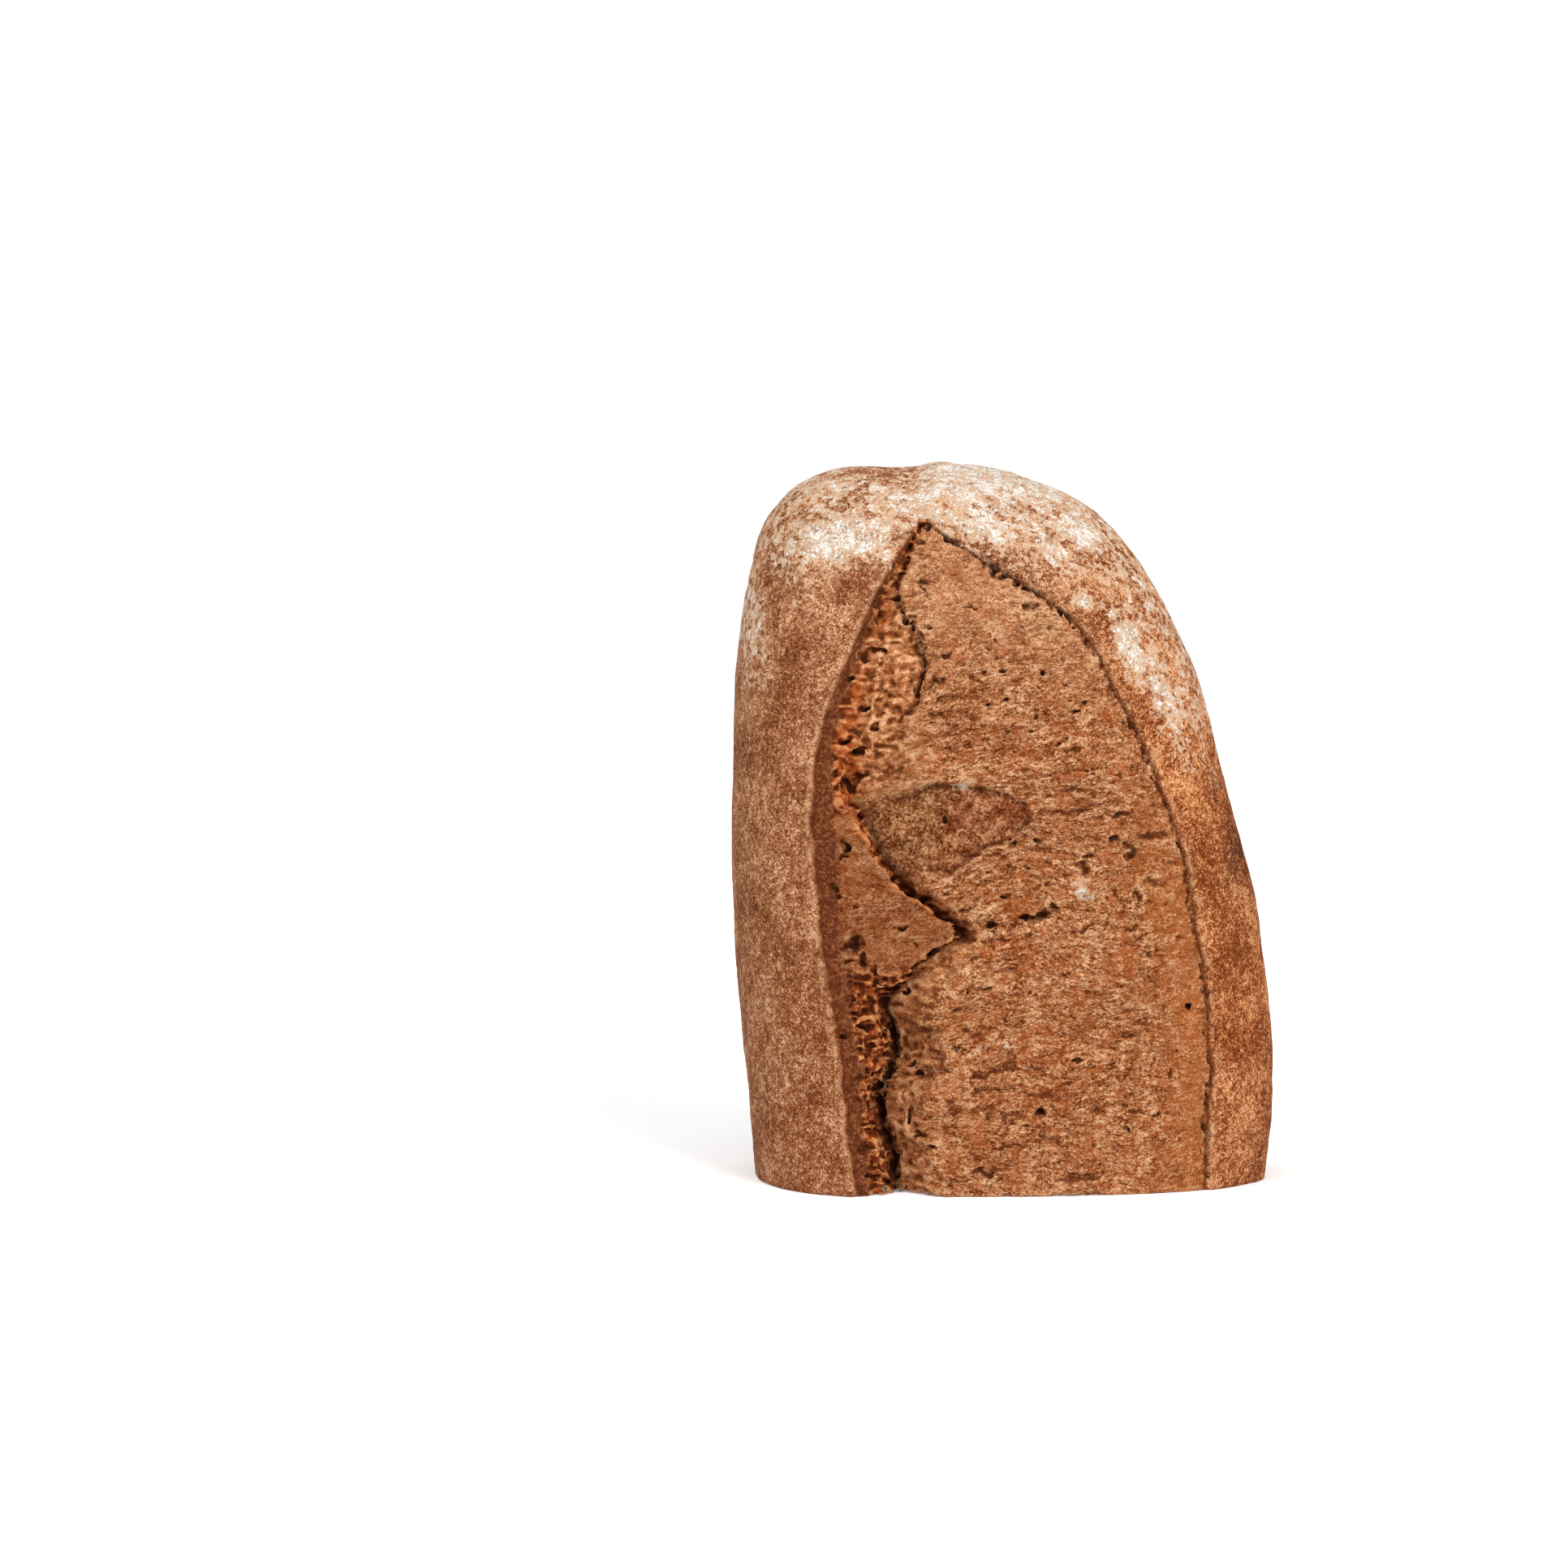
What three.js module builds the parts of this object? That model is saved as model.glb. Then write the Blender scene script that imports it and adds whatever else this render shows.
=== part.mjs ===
import * as THREE from 'three';

// Half of a long whole wheat loaf, cut straight across and standing on its cut face.
// Millimetres, +Z up. The baked top of the loaf, with its long tear, faces -Y, its flat
// oven side faces +Y, and the rounded end of the loaf is uppermost. The origin is on the
// cut face, below the middle of the loaf.

// The loaf's outline at rising heights: how far it reaches to its four sides.
const SECTIONS = [
  { height: 0, left: -68.5, right: 73, front: -35.5, back: 35.5 },
  { height: 25, left: -71, right: 75.8, front: -36, back: 35.8 },
  { height: 55, left: -73.6, right: 73.9, front: -36, back: 35.8 },
  { height: 85, left: -75.3, right: 69.3, front: -35.6, back: 35.8 },
  { height: 112, left: -75.2, right: 61.8, front: -34.6, back: 35.6 },
  { height: 135, left: -74.6, right: 55.9, front: -32.8, back: 35.4 },
  { height: 155, left: -72.7, right: 47.8, front: -29.4, back: 35 },
  { height: 170, left: -70.5, right: 39.4, front: -25, back: 34.2 },
  { height: 181, left: -67.3, right: 31, front: -19.6, back: 32.6 },
  { height: 189, left: -61.9, right: 22, front: -13.6, back: 30.2 },
  { height: 195, left: -54.3, right: 8.5, front: -6, back: 26 },
  { height: 198.6, left: -43, right: -5, front: 1.5, back: 20.5 },
  { height: 200, left: -24, right: -24, front: 11, back: 11 },
];
const WAIST_Y = 12;
const FRONT_ROUNDNESS = 2.45;
const BACK_ROUNDNESS = 4.6;

// Lines that run up the tear, as [height, x] seen from the front.
const TEAR_TOP = 183;
const LIP_LINE = [
  [0, -42.5], [45, -47.6], [75, -52.3], [107, -53.8], [130, -50.2], [155, -39.5], [170, -32.3], [183, -24],
];
const FLOOR_LINE = [
  [0, -32], [20, -34], [45, -31], [58, -28.5], [66, -18.5], [71, -12.5], [76, -20], [84, -29.6],
  [94, -36.5], [107, -43], [130, -40], [155, -32.6], [170, -29.5], [183, -23.4],
];
const RIM_LINE = [
  [0, -19], [20, -19], [45, -17.5], [58, -17], [66, -12.5], [71, -8.5], [76, -14], [84, -23],
  [94, -31], [107, -37], [118, -28], [140, -23.5], [170, -24.5], [183, -23],
];
const EAR_LINE = [
  [0, 54.3], [45, 54.8], [80, 49.6], [107, 43], [130, 32], [155, 17], [168.5, -2.5], [180, -20], [183, -22.4],
];
const BAND_WIDTH = [[0, 3.2], [66, 4.7], [94, 6.6], [118, 3.6], [140, 2.5], [183, 0.2]];
const FLOOR_DEPTH = [[0, 14], [45, 13.5], [62, 9], [71, 6], [84, 7], [107, 8], [140, 6], [170, 5], [183, 0.6]];

// Relief of the crust and of the torn sheet below it.
const LIP_RAISE = 0.9;
const LIP_REACH = 6;
const LIP_STEP = { width: 0.8, depth: 0.8 };
const BAND_DEPTH = 2.4;
const RIM_DEPTH = 1.7;
const SHEET_DEPTH = 0.9;
const CREASE = { reach: 1.5, depth: 2.1 };
const TEARDROP = { x: -19, z: 99.5, halfLength: 24.5, halfHeight: 10.5, depth: 1.6, edge: 0.35 };
const CLEFT = { x: -24.5, width: 7, depth: 1.4, from: 180, to: 188, endY: 4 };

// Facets: steps along each stretch of a section, and the height of one row of facets.
const STRETCH_STEPS = [11, 1, 2, 4, 3, 14, 1, 1, 9];
const BACK_STEPS = 32;
const ROW_STEP = 4.6;
const MIN_STRETCH = 0.35;
const EVEN_FROM = 170;
const EVEN_TO = 194;
const ARC_SAMPLES = 60;
const NORMAL_STEP = 1e-3;

const CRUST = new THREE.MeshStandardMaterial({ color: 0x9c6740, roughness: 0.82, metalness: 0 });

const { clamp, lerp, smoothstep } = THREE.MathUtils;

// Smooth curve through [at, value] pairs.
function along(points, at) {
  const last = points.length - 1;
  const place = clamp(at, points[0][0], points[last][0]);
  const i = clamp(points.findIndex(([height]) => height > place) - 1, 0, last - 1) || 0;
  const k = place >= points[last][0] ? last - 1 : i;
  const slope = (j) => {
    const a = points[Math.max(j - 1, 0)];
    const b = points[Math.min(j + 1, last)];
    return (b[1] - a[1]) / (b[0] - a[0]);
  };
  const [h0, v0] = points[k];
  const [h1, v1] = points[k + 1];
  const span = h1 - h0;
  const t = (place - h0) / span;
  const a = slope(k) * span + v0 - v1;
  const b = v1 - v0 - slope(k + 1) * span;
  return v0 + t * (v1 - v0) + t * (1 - t) * ((1 - t) * a + t * b);
}

// Catmull-Rom blend of the sections; place counts sections from the cut face.
function sectionAt(place) {
  const last = SECTIONS.length - 1;
  const i = Math.min(Math.floor(place), last - 1);
  const t = place - i;
  const section = {};
  for (const key of Object.keys(SECTIONS[0])) {
    const p1 = SECTIONS[i][key];
    const p2 = SECTIONS[i + 1][key];
    const p0 = i > 0 ? SECTIONS[i - 1][key] : 2 * p1 - p2;
    const outer = key === 'height' ? p1 : 2 * p2 - p1;
    const p3 = i + 2 <= last ? SECTIONS[i + 2][key] : outer;
    const bend = (2 * p0 - 5 * p1 + 4 * p2 - p3) * t * t + (3 * p1 - p0 - 3 * p2 + p3) * t * t * t;
    section[key] = 0.5 * (2 * p1 + (p2 - p0) * t + bend);
  }
  return section;
}

// The top of the loaf's end is the axis that each section is drawn around.
const TIP = SECTIONS[SECTIONS.length - 1];

function sectionAxis(section) {
  const x = clamp(TIP.left, section.left, section.right);
  const y = clamp(WAIST_Y, section.front, section.back);
  return { x, y };
}

// Point of the smooth loaf at an angle round a section: 0 is right, PI / 2 is front.
function bodyPoint(angle, place) {
  const section = sectionAt(place);
  const axis = sectionAxis(section);
  const c = Math.cos(angle);
  const s = Math.sin(angle);
  const a = Math.max(c > 0 ? section.right - axis.x : axis.x - section.left, 1e-6);
  const b = Math.max(s > 0 ? axis.y - section.front : section.back - axis.y, 1e-6);
  const n = lerp(BACK_ROUNDNESS, FRONT_ROUNDNESS, smoothstep(s, -0.25, 0.25));
  const radius = ((Math.abs(c) / a) ** n + (Math.abs(s) / b) ** n) ** (-1 / n);
  return new THREE.Vector3(axis.x + radius * c, axis.y - radius * s, section.height);
}

// Angle round a section at which its front side has the given x.
function frontAngle(x, section) {
  const axis = sectionAxis(section);
  const a = Math.max(x > axis.x ? section.right - axis.x : axis.x - section.left, 1e-6);
  const b = Math.max(axis.y - section.front, 1e-6);
  const u = clamp((x - axis.x) / a, -0.995, 0.995);
  const v = (1 - Math.abs(u) ** FRONT_ROUNDNESS) ** (1 / FRONT_ROUNDNESS);
  return Math.atan2(b * v, a * u);
}

function bodyNormal(angle, place) {
  const last = SECTIONS.length - 1;
  const up = Math.min(place + NORMAL_STEP, last);
  const down = Math.max(up - 2 * NORMAL_STEP, 0);
  const rise = bodyPoint(angle, up).sub(bodyPoint(angle, down));
  const round = bodyPoint(angle + NORMAL_STEP, place).sub(bodyPoint(angle - NORMAL_STEP, place));
  return rise.cross(round).normalize();
}

// The tear's cross-section at one height: [x, depth] from the left lip to the right crust.
function tearProfile(z) {
  const lip = along(LIP_LINE, z);
  const ear = along(EAR_LINE, z);
  const open = smoothstep(TEAR_TOP - z, 0, 12);
  const profile = [
    [lip, -LIP_RAISE * open],
    [lip + LIP_STEP.width, LIP_STEP.depth * open],
    [lip + LIP_STEP.width + along(BAND_WIDTH, z), BAND_DEPTH * open],
    [along(FLOOR_LINE, z), along(FLOOR_DEPTH, z)],
    [along(RIM_LINE, z), RIM_DEPTH * open],
    [ear - CREASE.reach, SHEET_DEPTH * open],
    [ear, CREASE.depth * open],
    [ear + CREASE.reach, 0],
  ];
  for (let i = 1; i < profile.length; i += 1) {
    profile[i][0] = Math.max(profile[i][0], profile[i - 1][0] + MIN_STRETCH);
  }
  return profile;
}

function teardropDepth(x, z) {
  const reach = Math.hypot((x - TEARDROP.x) / TEARDROP.halfLength, (z - TEARDROP.z) / TEARDROP.halfHeight);
  return TEARDROP.depth * (1 - smoothstep(reach, 1 - TEARDROP.edge, 1));
}

// Depth of the front below the smooth loaf.
function tearDepth(x, z) {
  if (z > TEAR_TOP) return 0;
  const profile = tearProfile(z);
  const [lip] = profile[0];
  if (x <= lip) return profile[0][1] * Math.exp((x - lip) / LIP_REACH);
  const next = profile.findIndex(([edge]) => edge >= x);
  if (next < 0) return 0;
  const [x0, d0] = profile[next - 1];
  const [x1, d1] = profile[next];
  const sheet = next > 4 ? teardropDepth(x, z) : 0;
  return sheet + lerp(d0, d1, smoothstep(x, x0, x1));
}

// Shallow cleft between the two rounded shoulders above the tear.
function cleftDepth(point) {
  const across = Math.exp(-(((point.x - CLEFT.x) / CLEFT.width) ** 2));
  const lengthwise = smoothstep(point.z, CLEFT.from, CLEFT.to) * smoothstep(CLEFT.endY - point.y, 0, 8);
  return CLEFT.depth * across * lengthwise;
}

// Angles that split one stretch of a section into steps of equal length, without its end.
function splitStretch(from, to, steps, place) {
  const angles = [];
  const lengths = [0];
  for (let i = 0; i <= ARC_SAMPLES; i += 1) {
    angles.push(lerp(from, to, i / ARC_SAMPLES));
  }
  const points = angles.map((angle) => bodyPoint(angle, place));
  for (let i = 1; i <= ARC_SAMPLES; i += 1) {
    lengths.push(lengths[i - 1] + points[i].distanceTo(points[i - 1]));
  }
  const starts = [];
  for (let step = 0; step < steps; step += 1) {
    const wanted = (lengths[ARC_SAMPLES] * step) / steps;
    const i = clamp(lengths.findIndex((length) => length > wanted) - 1, 0, ARC_SAMPLES - 1);
    const part = (wanted - lengths[i]) / (lengths[i + 1] - lengths[i]);
    starts.push(lerp(angles[i], angles[i + 1], part));
  }
  return starts;
}

// Angles of one section's columns: along the tear's lines in front, then evenly round the back.
function columnAngles(place) {
  const section = sectionAt(place);
  const lines = tearProfile(Math.min(section.height, TEAR_TOP)).map(([x]) => frontAngle(x, section));
  const stops = [Math.PI, ...lines, 0];
  const featured = STRETCH_STEPS.flatMap((steps, i) => splitStretch(stops[i], stops[i + 1], steps, place));
  const even = splitStretch(Math.PI, 0, featured.length, place);
  const evenness = smoothstep(section.height, EVEN_FROM, EVEN_TO);
  const front = featured.map((angle, i) => lerp(angle, even[i], evenness));
  return [...front, ...splitStretch(0, -Math.PI, BACK_STEPS, place)];
}

function surfacePoint(angle, place) {
  const point = bodyPoint(angle, place);
  const front = Math.sin(angle) > 0;
  const depth = front ? tearDepth(point.x, point.z) + cleftDepth(point) : 0;
  return point.addScaledVector(bodyNormal(angle, place), -depth);
}

// Places of the facet rows, about ROW_STEP apart along the loaf's side.
function rowPlaces() {
  const places = [];
  for (let i = 0; i < SECTIONS.length - 1; i += 1) {
    const rise = SECTIONS[i + 1].height - SECTIONS[i].height;
    const run = SECTIONS[i + 1].left - SECTIONS[i].left;
    const steps = Math.max(2, Math.round(Math.hypot(rise, run) / ROW_STEP));
    for (let k = 0; k < steps; k += 1) {
      places.push(i + k / steps);
    }
  }
  return places;
}

function makeLoaf() {
  const rows = rowPlaces().map((place) => columnAngles(place).map((angle) => surfacePoint(angle, place)));
  rows[0].forEach((point) => point.setZ(0));
  const columns = rows[0].length;
  const points = [...rows.flat(), new THREE.Vector3(TIP.left, TIP.front, TIP.height)];
  const tip = points.length - 1;
  const faces = [];
  for (let row = 0; row < rows.length - 1; row += 1) {
    for (let column = 0; column < columns; column += 1) {
      const a = row * columns + column;
      const b = row * columns + ((column + 1) % columns);
      faces.push(a, b, a + columns, b, b + columns, a + columns);
    }
  }
  for (let column = 0; column < columns; column += 1) {
    const start = (rows.length - 1) * columns;
    faces.push(start + column, start + ((column + 1) % columns), tip);
  }
  const cutOutline = rows[0].map((point) => new THREE.Vector2(point.x, point.y));
  THREE.ShapeUtils.triangulateShape(cutOutline, []).forEach(([a, b, c]) => faces.push(a, c, b));
  const geometry = new THREE.BufferGeometry().setFromPoints(points);
  geometry.setIndex(faces);
  return geometry;
}

const loaf = new THREE.Mesh(makeLoaf(), CRUST);
loaf.name = 'loaf';

const object = new THREE.Group();
object.add(loaf);

export default object;
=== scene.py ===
"""Half of a long whole wheat loaf, standing on its cut face.

The loaf's skin is a smooth body with the tear's relief cut into it. The relief, the torn
bubbles and the open crumb are worked out on a fine grid and turned into one closed mesh.
Lengths are in millimetres until the mesh is made.
"""
import math

import bpy
import numpy as np
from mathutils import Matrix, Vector


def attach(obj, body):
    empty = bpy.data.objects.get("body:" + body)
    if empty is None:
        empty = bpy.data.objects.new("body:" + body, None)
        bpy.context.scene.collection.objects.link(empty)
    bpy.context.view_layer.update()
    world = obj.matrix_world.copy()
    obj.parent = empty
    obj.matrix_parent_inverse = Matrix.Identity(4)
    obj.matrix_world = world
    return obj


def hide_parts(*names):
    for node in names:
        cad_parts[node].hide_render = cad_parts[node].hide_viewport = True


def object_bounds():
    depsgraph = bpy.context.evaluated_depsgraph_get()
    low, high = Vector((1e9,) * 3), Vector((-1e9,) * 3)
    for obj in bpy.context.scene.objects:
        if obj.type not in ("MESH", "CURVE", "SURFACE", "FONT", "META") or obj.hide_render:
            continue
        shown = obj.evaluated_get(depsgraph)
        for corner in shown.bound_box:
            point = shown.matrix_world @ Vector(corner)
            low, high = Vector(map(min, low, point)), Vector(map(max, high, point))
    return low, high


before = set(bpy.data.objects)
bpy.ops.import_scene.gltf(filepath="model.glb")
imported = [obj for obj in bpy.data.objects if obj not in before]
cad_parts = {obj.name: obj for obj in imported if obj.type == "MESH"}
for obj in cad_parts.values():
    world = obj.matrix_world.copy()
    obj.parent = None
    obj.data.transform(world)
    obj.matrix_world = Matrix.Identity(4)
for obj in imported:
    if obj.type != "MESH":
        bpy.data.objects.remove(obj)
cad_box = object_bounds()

MM = 0.001
BODY = "root"
NODE = "loaf"

# ---------------------------------------------------------------- the loaf's sizes

# Outline at rising heights: height, then how far it reaches left, right, front and back.
SECTIONS = (
    (0, -68.5, 73, -35.5, 35.5),
    (25, -71, 75.8, -36, 35.8),
    (55, -73.6, 73.9, -36, 35.8),
    (85, -75.3, 69.3, -35.6, 35.8),
    (112, -75.2, 61.8, -34.6, 35.6),
    (135, -74.6, 55.9, -32.8, 35.4),
    (155, -72.7, 47.8, -29.4, 35),
    (170, -70.5, 39.4, -25, 34.2),
    (181, -67.3, 31, -19.6, 32.6),
    (189, -61.9, 22, -13.6, 30.2),
    (195, -54.3, 8.5, -6, 26),
    (198.6, -43, -5, 1.5, 20.5),
    (200, -24, -24, 11, 11),
)
WAIST_Y = 12.0
FRONT_ROUNDNESS = 2.45
BACK_ROUNDNESS = 4.6

# Lines that run up the tear, as (height, x) seen from the front, and depths along them.
TEAR_TOP = 183.0
LIP_LINE = (
    (0, -42.5), (45, -47.6), (75, -52.3), (107, -53.8), (130, -50.2), (155, -39.5), (170, -32.3),
    (183, -24),
)
FLOOR_LINE = (
    (0, -30.6), (8, -32), (17, -35), (26, -36.4), (34, -33), (41, -31.5), (52, -34), (58, -28.5),
    (66, -18.5), (71, -12.5), (76, -20), (84, -29.6), (94, -36.5), (104, -42.5), (111, -43.5),
    (118, -41), (127, -34), (134, -26.4), (142, -25), (149, -27.2), (155, -29.5), (163, -32),
    (170, -29.5), (183, -23.4),
)
RIM_LINE = (
    (0, -17.8), (13, -20), (21, -20.2), (29, -18), (33, -14), (42, -16.4), (49, -17.7), (55, -18.3),
    (60, -16.9), (66, -12.5), (71, -8.5), (76, -14), (84, -23), (94, -31), (101, -33), (107, -29),
    (113, -25.5), (120, -24.2), (128, -24.2), (134, -24.8), (142, -23.2), (149, -25.4), (155, -27.6),
    (163, -30.4), (170, -27), (183, -23),
)
EAR_LINE = (
    (0, 54.3), (45, 54.8), (80, 49.6), (107, 43), (130, 32), (155, 17), (168.5, -2.5), (180, -20),
    (183, -22.4),
)
BAND_WIDTH = ((0, 3.4), (66, 4.2), (94, 5), (118, 3.4), (140, 2.2), (183, 0.2))
FLOOR_DEPTH = (
    (0, 11), (26, 12.5), (41, 14), (50, 12), (60, 9.5), (71, 8), (84, 10), (107, 9.5), (118, 7),
    (130, 5.5), (163, 4.5), (175, 3), (183, 0.6),
)
WALL_FALL = ((0, 14), (48, 14), (57, 1.5), (104, 1.5), (112, 5), (126, 4), (165, 3), (183, 2))
WALL_SIDE = ((0, 0.3), (48, 0.3), (57, 1), (104, 1), (112, 0.3), (120, 0), (183, 0))
WALL_LEAN = (
    (0, -0.2), (50, -0.2), (60, 0.45), (104, 0.4), (116, 0), (124, -0.6), (165, -0.6), (175, 0),
    (183, 0),
)
LEAN_FROM = 2.5
LEAN_TO = 9.0
CREASE_DEPTH = ((0, 1.2), (120, 1.2), (150, 1.5), (166, 2.4), (177, 2.8), (183, 1.2))

# The lip's raise, how far it fades out, and its step's width and depth; then other depths.
LIP_RAISE = 0.6
LIP_REACH = 6.0
LIP_STEP = (0.8, 0.9)
BAND_DEPTH = 2.4
RIM_DEPTH = 1.7
SHEET_DEPTH = 0.6
CREASE_REACH = 1.1
EAR_RAISE = 0.2
MIN_STRETCH = 0.35

# Shapes in the torn face and beside it.
TEARDROP = {
    "left": -43,
    "right": 5.5,
    "low": 98.5,
    "high": 102.5,
    "tall": 11.5,
    "spill": 6,
    "shallow": 2.3,
    "deep": 8,
    "bluntness": 2.6,
}
CLEFT = {
    "x": -26,
    "left": 12,
    "right": 4.5,
    "depth": 2.3,
    "low": 180,
    "high": 188,
    "end_y": 24,
    "fade": 12,
}
WRINKLES = {"x": -67, "z": 171, "wide": 7, "tall": 11, "depth": 0.8}
FLAP = {"heights": (57, 63, 99, 108), "edge": 1.5}

# How the torn fibres run: the fan beside the flap, and their tilt elsewhere.
FAN = {"x": -8, "z": 86, "wide": 26, "tall": 18, "tilt": 0.3, "from": -20, "reach": 25}
STREAKS = {"tilt": 0.04, "more": 0.12, "z": 132, "tall": 26}

# Heights between which parts of the torn face fade out, or fade in and out again.
LEDGE_END = (66, 74)
TORN_EDGE_END = (62, 70)
SLOT_END = (54, 60)
BROWN_HEIGHTS = (102, 110, 160, 175)
FIN_HEIGHTS = (66, 76, 112, 125)
BAND_FIN_HEIGHTS = (106, 114, 156, 170)
CRACK_HEIGHTS = (67, 72, 96, 112)
SHADOW_HEIGHTS = (72, 80, 100, 110)

# Darker crust on the right: the middle of each patch, and how far it reaches.
TOASTED = {"x": 63, "z": 77, "wide": 13, "tall": 28}
SCORCHED = {"x": 64, "y": 2, "z": 92, "wide": 6, "thick": 20, "tall": 10}

# Holes in the torn sheet: x, height, half width, half height, depth.
PITS = (
    (32.3, 92.1, 2, 2.8, 2.6), (21.9, 90.9, 2.6, 1.5, 2.4), (1, 94.5, 1.8, 0.9, 1.8),
    (6.5, 75.2, 5.4, 1.4, 2.8), (-5.1, 73, 2.8, 1.2, 2.4), (33.8, 80.2, 1.3, 1, 1.6),
    (20.5, 87.5, 1.4, 2, 2.4), (28.3, 96, 1.8, 1.1, 2), (12, 77.2, 1.8, 1.2, 2.2),
    (26.1, 69.6, 1.2, 0.9, 1.5), (4.4, 53.6, 1.6, 0.8, 1.8), (22.3, 54.6, 2.4, 0.8, 1.6),
    (49.5, 51.4, 0.8, 1.4, 2.2), (48.7, 56.2, 0.7, 0.8, 1.6), (8, 23.5, 1.7, 2.2, 2.4),
    (-4.1, 15.6, 1.2, 1, 1.4), (34.1, 22.4, 2.4, 1.8, 1.2), (18.3, 23.1, 0.8, 0.6, 1.2),
    (43.6, 33.3, 0.9, 1.6, 1.6), (44.7, 28.8, 1, 0.6, 1.2), (40.1, 16.2, 0.7, 0.6, 1.2),
    (46.6, 14.1, 0.7, 0.6, 1.2), (50.9, 17.4, 0.6, 0.6, 1.2), (53.5, 18.6, 0.8, 4.6, 1.8),
    (-21.9, 153.5, 2.4, 0.7, 1.6), (-17.7, 145.5, 2.2, 0.8, 1.6), (-11.4, 120.6, 2, 1, 1.4),
    (-17.7, 100, 1.1, 1.5, 4), (26, 35.4, 13, 0.5, 1), (-22.9, 162.3, 0.8, 1.9, 1.8),
    (-25.1, 181.4, 1.6, 0.7, 1.4), (-24.7, 176.2, 2.2, 0.8, 2), (-26.9, 178.6, 1.3, 0.8, 1.4),
    (-22.9, 186, 0.6, 3.4, 1.2),
)

# Openings in the valley: x, height, half width, half height, depth.
GAPS = (
    (-31.5, 43, 1.6, 4.8, 4.5), (-30.8, 38.6, 1.8, 2.2, 3.5), (-27, 34.2, 1.7, 1.4, 3.2),
    (-24.9, 32, 1.8, 1.3, 3.2), (-28.9, 26.5, 1, 3.2, 3.2), (-27.6, 21.4, 1.2, 3.2, 3.2),
    (-25, 16.8, 1.9, 1.4, 3), (-21.5, 13.2, 1.9, 1.2, 2.6), (-37.5, 29, 1.9, 2.4, 4),
    (-36.3, 22.5, 1.9, 4, 4.5), (-34.5, 15, 2, 3.8, 4.5), (-31.8, 7.5, 2, 4.2, 4.5),
    (-40.3, 63.3, 2.2, 1.7, 3.2), (-37.1, 60.8, 1.7, 1.4, 3), (-34.5, 55, 1.5, 3.2, 3.6),
    (-31.6, 169.2, 1.1, 1.1, 2), (-31.6, 162.6, 2, 1.2, 2.8), (-28.7, 171.7, 1, 0.8, 1.8),
    (-40.2, 145.5, 1.4, 1.9, 3.4), (-43.5, 139, 1.6, 1.4, 3.4), (-40.1, 131.4, 1.9, 1.2, 3),
    (-34.6, 144, 2.2, 3.4, 1.2), (-33.8, 133.5, 3, 2.4, 1), (-42.8, 119.5, 2.2, 1.2, 3.2),
    (-36, 125.6, 1.3, 1, 2.2), (-46.1, 122.8, 1.6, 1.4, 3), (-49, 117.5, 1.3, 1.8, 3),
    (-45, 112.5, 1.8, 1.2, 3), (-45.3, 94.1, 1, 1.6, 2.4), (-45.4, 90, 0.8, 1.8, 2.4),
    (-47.5, 82.5, 1.6, 1.3, 3), (-46.6, 80, 1.2, 1, 2.4), (-42, 78.1, 1.2, 0.8, 2),
    (-28.5, 71.6, 2.2, 0.8, 2.2), (-26.2, 68.2, 0.9, 1, 1.8), (-42, 68, 4, 2.6, 2.2),
    (-40.3, 67.4, 0.9, 0.7, 3.2), (-45.2, 63.3, 1.2, 1, 3), (-37, 57.9, 1.9, 1.6, 3.6),
    (-27.9, 54.8, 1.4, 0.8, 2.4), (-31, 176, 1.6, 0.8, 2), (-34.4, 153.9, 2.2, 4.8, 1.8),
)

# Flour on the crust, seen from the front: x, height, half width, half height, turn, strength.
FLOUR = (
    (-46, 177, 18, 8, 8, 1.05),
    (-58, 172, 8, 12, 20, 0.55),
    (-71, 158, 5, 20, 6, 0.6),
    (-33, 173, 6, 4.5, 40, 0.75),
    (-7, 181, 15, 6.5, -22, 0.8),
    (13, 175, 13, 7, -40, 0.6),
    (20, 180, 11, 6, -35, 1),
    (20, 160, 3.2, 3, -40, 0.85),
    (33, 147, 4.2, 12, 22, 1),
    (43, 133, 4.5, 16, 20, 0.75),
    (33, 163, 8, 12, 35, 0.5),
    (8, 190, 34, 5, -12, 0.35),
    (-50, 190, 22, 5, 20, 0.35),
)

# Small clumps of flour on the torn face: x, height, radius.
FLOUR_SPECKS = (
    (-13.4, 110.1, 2.2), (-8.6, 39.6, 0.9), (-5.4, 41.9, 1.1), (-1, 40.4, 0.8), (18.9, 82.4, 2),
    (21.4, 80.2, 1.4), (16.8, 84.2, 1.2),
)

# ---------------------------------------------------------------- the grid and its relief

# The field's grid: its step, the room round the loaf, and the depths that take relief.
CELL = 0.62
MARGIN = 2.5
SHELL = 3.0
OUTSIDE = 2.0
DEEPEST = 18.0
FAR = 50.0
LEVELS = np.linspace(-1.0, 201.0, 1200)
FACES = 194000
SEED = 7

# Random bubbles: how many are tried in the sheet and in the valley, how many of the valley's
# stay at each height, and the crumb's, as number tried, smallest and largest radius.
TORN_BUBBLES = 170
WALL_POCKETS = 420
POCKET_SHARE = ((0, 0.9), (56, 0.9), (62, 0.25), (100, 0.4), (110, 0.4), (118, 0.08), (183, 0.05))
CRUMB_BUBBLES = ((26, 5.0, 8.5), (90, 2.6, 5.0), (420, 1.3, 2.6), (2300, 0.65, 1.3))
CRUST_THICKNESS = 3.5
CRUMB_REACH = 12.0

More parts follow.
